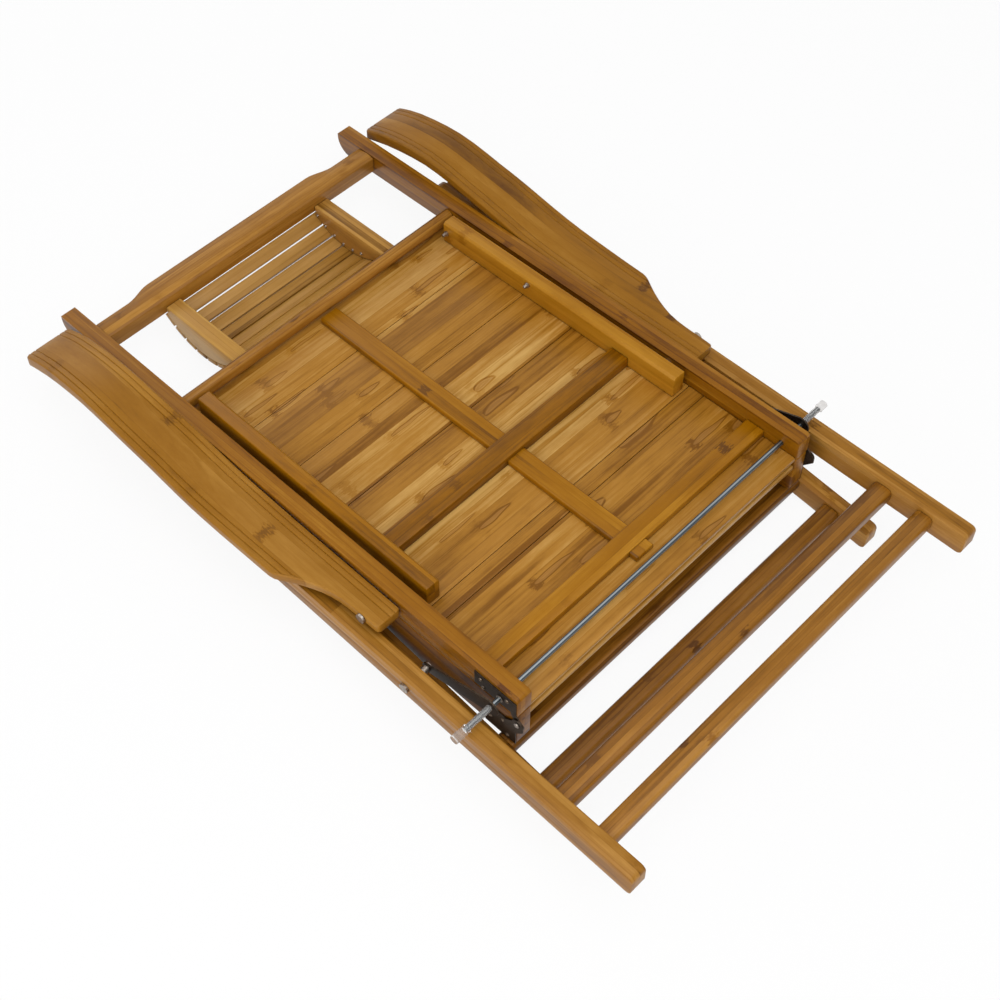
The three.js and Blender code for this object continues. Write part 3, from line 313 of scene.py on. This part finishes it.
    # Tone
    # Each piece's tone shift, partly its own tone and partly painted shade on pieces that lie in shadow
    piece_tone_and_shade = g.node("ShaderNodeAttribute", attribute_name="piece_tone_and_shade").outputs["Fac"]
    streaks = given["Streaks"]
    tone = g.math("MULTIPLY_ADD", g.math("SUBTRACT", strip_value, 0.5), given["Contrast"], 0.5)
    tone = g.math("MULTIPLY_ADD", g.math("SUBTRACT", streak, 0.5), streaks, tone)
    tone = g.math("ADD", tone, g.swing(fine, FIBRE_STRENGTH))
    tone = g.math("ADD", tone, g.swing(cloud, CLOUD_STRENGTH))
    mottling = g.math("MULTIPLY_ADD", streaks, MOTTLE_MORE, MOTTLE_LEAST)
    tone = g.math("MULTIPLY_ADD", g.math("SUBTRACT", mottle, 0.5), mottling, tone)
    tone = g.math("ADD", tone, piece_tone_and_shade)
    tone = g.lower(tone, veins, g.math("MULTIPLY", streaks, VEIN_STRENGTH))
    dark_band = g.math("MULTIPLY", g.ramp(band, BAND_FROM, BAND_TO), streaks)
    tone = g.lower(tone, dark_band, BAND_STRENGTH)
    tone = g.lower(tone, blotch, NODE_STRENGTH)
    tone = g.lower(tone, rim, EYE_STRENGTH)
    near_seam = g.math("MINIMUM", inside, g.math("SUBTRACT", 1.0, inside))
    seam = g.ramp(g.math("MULTIPLY", near_seam, width), SEAM_EDGE, SEAM_CORE)
    tone = g.lower(tone, seam, SEAM_STRENGTH, clamp=True)

    # Colour, roughness and height
    low = g.mix(g.ramp(tone, 0.0, MIDDLE_AT), given["Dark"], given["Middle"])
    colour = g.mix(g.ramp(tone, LIGHT_FROM, 1.0), low, given["Light"])
    rosy = g.math("MULTIPLY", g.ramp(strip[2], ROSE_FROM, 1.0), ROSE_SHARE)
    rosy = g.math("MAXIMUM", rosy, g.math("MULTIPLY", heart, HEART_ROSE))
    colour = g.mix(rosy, colour, given["Rose"])
    rough = g.math("MULTIPLY_ADD", fine, FIBRE_ROUGHNESS, LACQUER_ROUGHNESS)
    height = g.math("ADD", g.math("MULTIPLY", fine, 0.5), g.math("MULTIPLY", streak, 0.5))
    for socket, value in zip(out, (colour, rough, height)):
        g.feed(socket, value)
    return tree


BAMBOO = bamboo_group()

# Materials

ALONG_X = (0.0, -TILT, 0.0)
ALONG_Y = (0.0, -TILT, -math.pi / 2)
# Painted shade: the bamboo's colour darkens towards a dark brown in creases, grooves and gaps between parts, where
# ambient occlusion finds little open space
CREVICE_SHADE_REACH, CREVICE_SHADE_FROM, CREVICE_SHADE_TO, CREVICE_SHADE_STRENGTH = 0.0028, 0.62, 0.18, 0.75
CREVICE_SHADE_TONE = "#3A2004"
GRAIN_DEPTH, GRAIN_STRENGTH = 0.0002, 0.35
LACQUER_GLOSS = 0.20


def linear(hex_colour):
    """A colour written as sRGB hex, as the shader's linear colour."""
    parts = [int(hex_colour[i : i + 2], 16) / 255 for i in (1, 3, 5)]
    return (*[p / 12.92 if p <= 0.04045 else ((p + 0.055) / 1.055) ** 2.4 for p in parts], 1.0)


def new_material(name):
    material = bpy.data.materials.new(name)
    material.use_nodes = True
    shader = material.node_tree.nodes["Principled BSDF"]
    return material, Graph(material.node_tree), shader


def set_plain(shader, **values):
    """Numbers and colours that are the same all over, on the shader's own sockets."""
    for name, value in values.items():
        shader.inputs[name.replace("_", " ")].default_value = value


def bamboo(name, turn, strip, tones, seed, contrast, streaks, eyes, spacing):
    """A lacquered bamboo whose strips run the way that turn gives, darkened by painted shade in its creases and
    gaps.
    """
    material, g, shader = new_material(name)
    mapped = g.node("ShaderNodeMapping", {"Vector": g.place(), "Rotation": turn})
    values = {
        "Position": mapped.outputs[0],
        "Strip Width": strip[0],
        "Strip Depth": strip[1],
        "Node Spacing": spacing,
        "Seed": seed,
        "Contrast": contrast,
        "Streaks": streaks,
        "Eyes": eyes,
    }
    for label, tone in zip(("Dark", "Middle", "Light", "Rose"), tones):
        values[label] = linear(tone)
    strips = g.node("ShaderNodeGroup", node_tree=BAMBOO)
    for socket, value in values.items():
        g.feed(strips.inputs[socket], value)
    # Painted shade: ambient occlusion darkens the colour in creases, grooves and gaps between parts
    crevice_occlusion = g.node("ShaderNodeAmbientOcclusion", {"Distance": CREVICE_SHADE_REACH}, samples=6)
    shade = g.ramp(crevice_occlusion.outputs["AO"], CREVICE_SHADE_FROM, CREVICE_SHADE_TO, 0.0, CREVICE_SHADE_STRENGTH)
    dark = linear(CREVICE_SHADE_TONE)
    g.feed(shader.inputs["Base Color"], g.mix(shade, strips.outputs["Color"], dark))
    g.feed(shader.inputs["Roughness"], strips.outputs["Roughness"])
    grain = {
        "Height": strips.outputs["Height"],
        "Distance": GRAIN_DEPTH,
        "Strength": GRAIN_STRENGTH,
    }
    g.feed(shader.inputs["Normal"], g.node("ShaderNodeBump", grain).outputs[0])
    set_plain(shader, Specular_IOR_Level=LACQUER_GLOSS)
    return material


CLOUDY_SCALE, CLOUDY_FROM, CLOUDY_TO = 420.0, 0.3, 0.7


def metal(name, tones, roughness, grain):
    """A metal clouded between two tones, rougher by the grain where it is pale."""
    material, g, shader = new_material(name)
    set_plain(shader, Metallic=1.0)
    cloud = g.noise(g.place(), CLOUDY_SCALE, 4.0, 0.6)
    share = g.ramp(cloud, CLOUDY_FROM, CLOUDY_TO)
    g.feed(shader.inputs["Base Color"], g.mix(share, linear(tones[0]), linear(tones[1])))
    g.feed(shader.inputs["Roughness"], g.math("MULTIPLY_ADD", cloud, grain, roughness))
    return material


# Painted reflection: light and dark stripes round the rod stand in for the streaks that a round metal rod reflects
REFLECTION_STREAKS = 5.0
STREAK_SHADE_TONE, STREAK_HIGHLIGHT_TONE = "#454D52", "#92989B"
STREAK_SHARE_FROM, STREAK_SHARE_TO = -0.5, 0.6
WEAR_STRETCH, WEAR_SCALE, WEAR_SWING = 0.02, 500.0, 1.2


def zinc_with_painted_streaks(axis):
    """Bright rod with light and dark stripes painted along it as its reflected highlights and shade, broken up by
    a random wear pattern.
    """
    material, g, shader = new_material("zinc_with_painted_streaks")
    set_plain(shader, Metallic=0.9, Roughness=0.36)
    parts = g.node("ShaderNodeSeparateXYZ", {0: g.place()}).outputs
    round_x = g.math("SUBTRACT", parts[0], axis.x)
    round_z = g.math("SUBTRACT", parts[2], axis.z)
    angle = g.math("ARCTAN2", round_z, round_x)
    # Painted highlight and shade stripes, five to a turn of the rod
    painted_streaks = g.math("SINE", g.math("MULTIPLY", angle, REFLECTION_STREAKS))
    drawn = g.vector(round_x, g.math("MULTIPLY", parts[1], WEAR_STRETCH), round_z)
    wear = g.swing(g.noise(drawn, WEAR_SCALE, 1.0), WEAR_SWING)
    share = g.ramp(g.math("ADD", painted_streaks, wear), STREAK_SHARE_FROM, STREAK_SHARE_TO)
    g.feed(shader.inputs["Base Color"], g.mix(share, linear(STREAK_SHADE_TONE), linear(STREAK_HIGHLIGHT_TONE)))
    return material


def cap_plastic():
    material, _, shader = new_material("clear_cap")
    set_plain(shader, Base_Color=linear("#E4E2E0"), Roughness=0.2)
    set_plain(shader, Transmission_Weight=0.88, IOR=1.08)
    return material


# Tones from the photographed chair: dark streak, body, pale streak, rosy strip
RAIL_TONES = ("#5A3000", "#8F5A04", "#B47F26", "#8F5A16")
ARM_TONES = ("#5A3402", "#92600E", "#B88638", "#926228")
LEG_TONES = ("#5E3804", "#96641A", "#BC8A40", "#96662E")
CROSS_TONES = ("#5A3404", "#905E18", "#B68238", "#8E602E")
PANEL_TONES = ("#784A06", "#A87426", "#CFA45C", "#A67638")
FRAME_TONES = ("#623A00", "#966000", "#B88120", "#966212")
SLAT_TONES = ("#6E480E", "#A87A34", "#C69A58", "#A07840")
BLOCK_TONES = ("#724A10", "#B0803A", "#CA9E50", "#AC7E42")

# Way of the strips, strip width and depth, tones, seed, contrast, streaks, eyes, node spacing
WOODS = {
    "rail": (ALONG_X, (0.0072, 0.0155), RAIL_TONES, 1.0, 0.38, 0.45, 0.0, 0.40),
    "arm": (ALONG_X, (0.0230, 0.3000), ARM_TONES, 2.0, 0.26, 0.18, 0.15, 0.34),
    "leg": (ALONG_X, (0.0072, 0.0160), LEG_TONES, 3.0, 0.40, 0.50, 0.0, 0.40),
    "crossbar": (ALONG_Y, (0.0078, 0.0120), CROSS_TONES, 4.0, 0.38, 0.55, 0.0, 0.40),
    "panel": (ALONG_Y, (0.0190, 0.0400), PANEL_TONES, 5.0, 0.52, 0.50, 0.75, 0.28),
    "frame": (ALONG_X, (0.0140, 0.0200), FRAME_TONES, 6.0, 0.28, 0.40, 0.0, 0.36),
    "frame_cross": (ALONG_Y, (0.0135, 0.0200), FRAME_TONES, 7.0, 0.28, 0.40, 0.0, 0.36),
    "slat": (ALONG_Y, (0.0120, 0.0400), SLAT_TONES, 8.0, 0.35, 0.35, 0.0, 0.40),
    "block": (ALONG_X, (0.0075, 0.0150), BLOCK_TONES, 9.0, 0.32, 0.35, 0.0, 0.36),
}
WOOD = {name: bamboo(f"{name}_bamboo", *values) for name, values in WOODS.items()}
# Dark steel; its brown tint is a painted reflection of the bamboo round the straps and hinge plates
DARK_STEEL_WOOD_REFLECTION = metal("dark_steel", ("#33291F", "#51453A"), 0.40, 0.2)
SCREW_BRONZE = metal("screw_bronze", ("#6A5A48", "#8E8074"), 0.30, 0.14)
BOLT_STEEL = metal("bolt_steel", ("#7C7268", "#B4AAA0"), 0.30, 0.14)
ROD_MM = Vector((-24.0, 0.0, -18.0))
ZINC = zinc_with_painted_streaks(CHAIR @ ROD_MM)
CLEAR_CAP = cap_plastic()

# Dressing the CAD nodes

BODIES = frame["record"]["behaviour"]["bodies"]
BODY_OF = {node: body for body, nodes in BODIES.items() for node in nodes}
SMOOTH_ANGLE = math.radians(32)
FLAT_ANGLE = math.radians(0.5)
EASE_ANGLE = math.radians(40)
EASE_STEPS = 2
SAME_PLACE = 1e-6


def finish_mesh(piece, material, body):
    """Smooth faces, one material, and the body that the piece belongs to."""
    mesh = piece.data
    mesh.materials.clear()
    mesh.materials.append(material)
    mesh.polygons.foreach_set("use_smooth", [True] * len(mesh.polygons))
    mesh.set_sharp_from_angle(angle=SMOOTH_ANGLE)
    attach(piece, body)


# Pieces paler (plus) or darker (minus) than their kind: partly each piece's own tone, partly painted shade on
# pieces that lie in shadow, such as the inner crossbars under the seat
PIECE_TONE_AND_SHADE = {
    "armrest_left": 0.16,
    "armrest_right": -0.09,
    "back_board_1": 0.15,
    "back_board_2": -0.10,
    "back_board_3": -0.12,
    "back_board_4": 0.05,
    "back_board_5": 0.08,
    "back_board_6": -0.02,
    "back_board_8": -0.02,
    "back_cleat_left": -0.09,
    "back_cleat_right": 0.22,
    "back_rail_right": -0.06,
    "headrest_block_left": 0.17,
    "headrest_slat_3": 0.06,
    "headrest_slat_4": -0.08,
    "headrest_slat_6": 0.12,
    "inner_crossbar_foot": -0.16,
    "inner_crossbar_upper": -0.36,
    "inner_leg_left": -0.12,
    "inner_leg_right": 0.15,
    "mid_batten": -0.18,
    "outer_crossbar_upper": -0.13,
    "outer_leg_left": -0.04,
    "outer_leg_right": 0.06,
    "seat_board_1": -0.12,
    "seat_front_board": -0.10,
    "seat_rail_left": -0.25,
    "second_crossbar": -0.04,
    "top_crossbar": 0.08,
}


# Stores a piece's tone shift on its vertices: partly its own tone, partly painted shade
def give_tone_and_shade(mesh, value):
    tone = mesh.attributes.new("piece_tone_and_shade", "FLOAT", "POINT")
    tone.data.foreach_set("value", [value] * len(mesh.vertices))


def merged(mesh):
    """Joins the loose triangles of a copied node, and makes each flat face one face."""
    shell = bmesh.new()
    shell.from_mesh(mesh)
    bmesh.ops.remove_doubles(shell, verts=shell.verts, dist=SAME_PLACE)
    bmesh.ops.dissolve_limit(
        shell, angle_limit=FLAT_ANGLE, verts=shell.verts, edges=shell.edges
    )
    shell.to_mesh(mesh)
    shell.free()
    return mesh


def rounded(node, material, radius_mm):
    """A copy of a bamboo node with its sharp edges eased, in the node's place."""
    piece = bpy.data.objects.new(f"{node}_wood", merged(frame["nodes"][node].data.copy()))
    bpy.context.scene.collection.objects.link(piece)
    ease = piece.modifiers.new("ease", "BEVEL")
    ease.width = radius_mm * MM
    ease.segments = EASE_STEPS
    ease.limit_method = "ANGLE"
    ease.angle_limit = EASE_ANGLE
    ease.use_clamp_overlap = True
    shown = bpy.context.evaluated_depsgraph_get()
    plain = bpy.data.meshes.new_from_object(piece.evaluated_get(shown))
    piece.modifiers.clear()
    piece.data = plain
    give_tone_and_shade(plain, PIECE_TONE_AND_SHADE.get(node, 0.0))
    finish_mesh(piece, material, BODY_OF[node])
    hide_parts(node)


def paint(node, material):
    """A CAD node that keeps its own shape."""
    mesh = frame["nodes"][node].data
    mesh.materials.clear()
    mesh.materials.append(material)


def pair(name):
    return [f"{name}_left", f"{name}_right"]


def numbered(name, count):
    return [f"{name}_{i}" for i in range(1, count + 1)]


# Bamboo nodes, their wood, and how far their edges are eased in millimetres
DRESSED = [
    (pair("back_rail"), "rail", 1.6),
    (pair("seat_rail"), "rail", 1.6),
    (["top_crossbar"], "crossbar", 1.2),
    (pair("headrest_block"), "block", 0.9),
    (numbered("headrest_slat", 7), "slat", 0.8),
    (["second_crossbar"], "crossbar", 0.8),
    (numbered("back_board", 8), "panel", 0.5),
    (pair("back_cleat"), "frame", 1.0),
    (["centre_batten"], "frame", 0.9),
    (["mid_batten", "lower_batten"], "frame_cross", 0.9),
    (numbered("seat_board", 3), "panel", 0.8),
    (["seat_front_board", "seat_rear_bar"], "crossbar", 1.0),
    (pair("outer_leg"), "leg", 2.2),
    (pair("inner_leg"), "leg", 2.2),
    (["outer_crossbar_foot", "outer_crossbar_upper"], "crossbar", 1.0),
    (["inner_crossbar_foot", "inner_crossbar_upper"], "crossbar", 1.0),
    (pair("armrest"), "arm", 0.25),
]
PAINTED = [
    (["strap", "back_hinge_leaf", "seat_hinge_leaf", "arm_bracket"], DARK_STEEL_WOOD_REFLECTION),
    (["arm_bolt", "strap_bolt", "leg_pivot_pin"], BOLT_STEEL),
    (["rod_cap"], CLEAR_CAP),
]

for nodes, wood, radius in DRESSED:
    for node in nodes:
        rounded(node, WOOD[wood], radius)
for names, material in PAINTED:
    for name in names:
        for node in pair(name):
            paint(node, material)
paint("hinge_rod", ZINC)

# Small hardware, in the chair's frame and millimetres


def place_piece(name, mesh, material, body):
    """A piece at the origin whose mesh was drawn in the chair's millimetres."""
    mesh.transform(CHAIR)
    mesh.update()
    piece = bpy.data.objects.new(name, mesh)
    bpy.context.scene.collection.objects.link(piece)
    finish_mesh(piece, material, body)


def ring(shell, radius, y, steps):
    """Vertices round the y axis, or the one on it where the radius is 0."""
    if radius == 0:
        return [shell.verts.new((0, y, 0))]
    angles = [math.tau * (k + 0.5) / steps for k in range(steps)]
    return [shell.verts.new((radius * math.cos(a), y, radius * math.sin(a))) for a in angles]


def turned(profile, steps):
    """A mesh turned round the y axis from (radius, y) pairs, closed at both ends on it."""
    shell = bmesh.new()
    rings = [ring(shell, radius, y, steps) for radius, y in profile]
    for first, second in zip(rings, rings[1:]):
        for k in range(steps):
            corners = [first[k % len(first)], first[(k + 1) % len(first)]]
            corners += [second[(k + 1) % len(second)], second[k % len(second)]]
            corners = list(dict.fromkeys(corners))
            if len(corners) > 2:
                shell.faces.new(corners)
    bmesh.ops.recalc_face_normals(shell, faces=shell.faces)
    mesh = bpy.data.meshes.new("turned")
    shell.to_mesh(mesh)
    shell.free()
    return mesh


COPIES_INPUTS = [
    ("Points", "NodeSocketGeometry"),
    ("Shape", "NodeSocketObject"),
    ("Turn", "NodeSocketVector"),
    ("Size", "NodeSocketFloat"),
    ("Material", "NodeSocketMaterial"),
]


def copies_tree():
    """Geometry nodes that set one shape at each point, turned and sized alike."""
    tree = bpy.data.node_groups.new("shape_at_points", "GeometryNodeTree")
    keys = {}
    for label, kind in COPIES_INPUTS:
        socket = tree.interface.new_socket(label, in_out="INPUT", socket_type=kind)
        keys[label] = socket.identifier
    tree.interface.new_socket("Copies", in_out="OUTPUT", socket_type="NodeSocketGeometry")
    nodes, links = tree.nodes, tree.links
    given, made = nodes.new("NodeGroupInput"), nodes.new("NodeGroupOutput")
    source = nodes.new("GeometryNodeObjectInfo")
    set_out = nodes.new("GeometryNodeInstanceOnPoints")
    real = nodes.new("GeometryNodeRealizeInstances")
    dress = nodes.new("GeometryNodeSetMaterial")
    links.new(given.outputs["Shape"], source.inputs["Object"])
    links.new(given.outputs["Points"], set_out.inputs["Points"])
    links.new(source.outputs["Geometry"], set_out.inputs["Instance"])
    links.new(given.outputs["Turn"], set_out.inputs["Rotation"])
    links.new(given.outputs["Size"], set_out.inputs["Scale"])
    links.new(set_out.outputs["Instances"], real.inputs["Geometry"])
    links.new(real.outputs["Geometry"], dress.inputs["Geometry"])
    links.new(given.outputs["Material"], dress.inputs["Material"])
    links.new(dress.outputs["Geometry"], made.inputs["Copies"])
    return tree, keys


COPIES, COPY_KEYS = copies_tree()


def copies(name, shape_mesh, points, turn, size, material, body):
    """One steel piece made of the same small shape at each of the points."""
    shape = bpy.data.objects.new("one_shape", shape_mesh)
    cloud = bpy.data.meshes.new("points")
    cloud.from_pydata(points, [], [])
    holder = bpy.data.objects.new("point_holder", cloud)
    for thing in (shape, holder):
        bpy.context.scene.collection.objects.link(thing)
    made = holder.modifiers.new("copies", "NODES")
    made.node_group = COPIES
    values = {"Shape": shape, "Turn": (turn, 0, 0), "Size": size, "Material": material}
    for label, value in values.items():
        made[COPY_KEYS[label]] = value
    shown = bpy.context.evaluated_depsgraph_get()
    mesh = bpy.data.meshes.new_from_object(holder.evaluated_get(shown))
    for thing in (holder, shape):
        bpy.data.objects.remove(thing)
    place_piece(name, mesh, material, body)


# Screw: rim, dome and the sunk middle of its cross, radius and height in shares of its size
SCREW_SHARES = [
    (0, -0.15), (1.0, -0.15), (1.0, 0.12), (0.82, 0.34), (0.42, 0.44), (0.30, 0.10), (0, 0.05),
]
SCREW_STEPS, SCREW_MM, NAIL_MM = 20, 2.7, 2.5
TO_LEFT, TO_RIGHT = math.pi, 0.0
SIDES = {"left": (-1, TO_LEFT), "right": (1, TO_RIGHT)}

# The screws of the hinge plates, on each plate's outer face
LEAF_FACE = 251.4
LEAF_SCREWS = [
    ("back", "backrest", [(-52.7, -13.6), (-48.6, -25.4), (-14.0, -12.4)]),
    ("seat", "seat", [(-19.3, -58.0), (-12.5, -82.0), (-38.0, -70.5)]),
]

for side, (sign, turn) in SIDES.items():
    for leaf, body, spots in LEAF_SCREWS:
        points = [(x, sign * LEAF_FACE, z) for x, z in spots]
        screw = turned(SCREW_SHARES, SCREW_STEPS)
        name = f"{leaf}_leaf_screws_{side}"
        copies(name, screw, points, turn, SCREW_MM, SCREW_BRONZE, body)

# Nails of the right headrest block and bolt ends in the right cleat, on their inner faces
BLOCK_NAILS = [
    (-719.0, -29.4), (-704.0, -39.6), (-686.6, -45.4),
    (-669.3, -49.5), (-651.0, -48.6), (-633.8, -43.6),
]
CLEAT_BOLTS = [(-554.0, -11.0), (-408.0, -4.0)]
BOLT_END_SHARES = [
    (0, -0.2), (1.4, -0.2), (1.4, 0.8), (0.9, 1.0), (0.9, 2.4), (0.7, 2.6), (0, 2.6),
]
BOLT_END_MM = 2.7
FITTING_STEPS = 16


def inner_side(node):
    """How far across the chair a right-hand node begins, in millimetres."""
    back = CHAIR.inverted()
    return min((back @ vertex.co).y for vertex in frame["nodes"][node].data.vertices)


def inner_fittings(name, node, spots, profile, size):
    face = inner_side(node)
    points = [(x, face, z) for x, z in spots]
    fitting = turned(profile, FITTING_STEPS)
    copies(name, fitting, points, TO_LEFT, size, BOLT_STEEL, "backrest")


inner_fittings("headrest_nails", "headrest_block_right", BLOCK_NAILS, SCREW_SHARES, NAIL_MM)
inner_fittings("cleat_bolt_ends", "back_cleat_right", CLEAT_BOLTS, BOLT_END_SHARES, BOLT_END_MM)

# Washers and bolt heads: body, pivot, y from and to counted outwards, radius, number of sides
HINGE_PIN, ROD = (HINGE_MM.x, HINGE_MM.z), (ROD_MM.x, ROD_MM.z)
BRACKET_PIN, SEAT_PIN = (-590.0, -34.9), (-400.0, -60.25)
NUT_EASE = 0.5
NUTS = [
    ("rod_washer", "backrest", ROD, 251.7, 252.7, 4.6, 24),
    ("hinge_pin_head", "backrest", HINGE_PIN, 252.75, 254.6, 3.4, 20),
    ("bracket_bolt_head", "outer_legs", BRACKET_PIN, 300.5, 303.3, 6.2, 24),
    ("seat_bolt_head", "inner_legs", SEAT_PIN, 273.6, 275.8, 6.4, 24),
]


def nut(radius, start, end, sides, x, z, sign):
    ease = min(NUT_EASE, (end - start) / 3)
    profile = [(0, start), (radius - ease, start), (radius, start + ease)]
    profile += [(radius, end - ease), (radius - ease, end), (0, end)]
    mesh = turned([(r, sign * y) for r, y in profile], sides)
    mesh.transform(Matrix.Translation((x, 0, z)))
    return mesh


for name, body, (x, z), start, end, radius, sides in NUTS:
    for side, (sign, _) in SIDES.items():
        mesh = nut(radius, start, end, sides, x, z, sign)
        place_piece(f"{name}_{side}", mesh, BOLT_STEEL, body)

# Floor, light and background

WHITE = (1.0, 1.0, 1.0, 1.0)
PAPER = (0.9, 0.9, 0.9, 1.0)
PAPER_ROUGHNESS = 0.9
FLOOR_HALF = 6.0
FLOOR_DROP = 0.0005
SHADOW_FADE = 0.91  # how much of the floor's own shading the white paper hides
WORLD_GLOW = 0.45

# Place, size and power of each soft light
LAMPS = {
    "overhead": ((0.7, -0.5, 2.6), (2.4, 2.4), 40.0),
    "near_side": ((0.9, -2.6, 1.3), (2.2, 1.4), 24.0),
    "head_side": ((-2.6, 0.4, 1.6), (1.6, 1.6), 10.0),
}


def soft_light(name, place, size, power):
    """A soft light turned towards the chair."""
    data = bpy.data.lights.new(name, "AREA")
    data.shape = "RECTANGLE"
    data.size, data.size_y = size
    data.energy = power
    lamp = bpy.data.objects.new(name, data)
    lamp.location = place
    lamp.rotation_mode = "QUATERNION"
    lamp.rotation_quaternion = (-Vector(place)).to_track_quat("-Z", "Y")
    bpy.context.scene.collection.objects.link(lamp)


def paper_white(name, see_through):
    """A material that the camera, glossy metal and clear plastic see as white paper."""
    material, g, shader = new_material(name)
    set_plain(shader, Base_Color=PAPER, Roughness=PAPER_ROUGHNESS)
    rays = g.node("ShaderNodeLightPath").outputs
    white = g.node("ShaderNodeEmission", {"Color": WHITE, "Strength": 1.0}).outputs[0]
    mirrored = g.math("MAXIMUM", rays["Is Glossy Ray"], rays["Is Transmission Ray"])
    lit = g.mix_shaders(mirrored, shader.outputs[0], white)
    clear = g.node("ShaderNodeBsdfTransparent").outputs[0]
    share = g.math("MULTIPLY", rays["Is Camera Ray"], see_through)
    output = material.node_tree.nodes["Material Output"]
    g.feed(output.inputs["Surface"], g.mix_shaders(share, lit, clear))
    return material


def make_floor():
    """The floor keeps a faint shadow, and lets legs that open below it show through."""
    mesh = bpy.data.meshes.new("floor")
    side = FLOOR_HALF
    corners = [(-side, -side, 0), (side, -side, 0), (side, side, 0), (-side, side, 0)]
    mesh.from_pydata(corners, [], [(0, 1, 2, 3)])
    floor = bpy.data.objects.new("floor", mesh)
    floor.location.z = -FLOOR_DROP
    bpy.context.scene.collection.objects.link(floor)
    mesh.materials.append(paper_white("pale_floor", SHADOW_FADE))


def make_world():
    """A dim white glow that the camera, metal and plastic see at full white."""
    world = bpy.data.worlds.new("studio")
    bpy.context.scene.world = world
    world.use_nodes = True
    g = Graph(world.node_tree)
    glow = world.node_tree.nodes["Background"]
    glow.inputs["Color"].default_value = WHITE
    rays = g.node("ShaderNodeLightPath").outputs
    through = g.math("MAXIMUM", rays["Is Glossy Ray"], rays["Is Transmission Ray"])
    shown = g.math("MAXIMUM", rays["Is Camera Ray"], through)
    strength = g.math("MULTIPLY_ADD", shown, 1.0 - WORLD_GLOW, WORLD_GLOW)
    g.feed(glow.inputs["Strength"], strength)


for name, values in LAMPS.items():
    soft_light(name, *values)
make_floor()
make_world()
bpy.context.scene.view_settings.view_transform = "Standard"
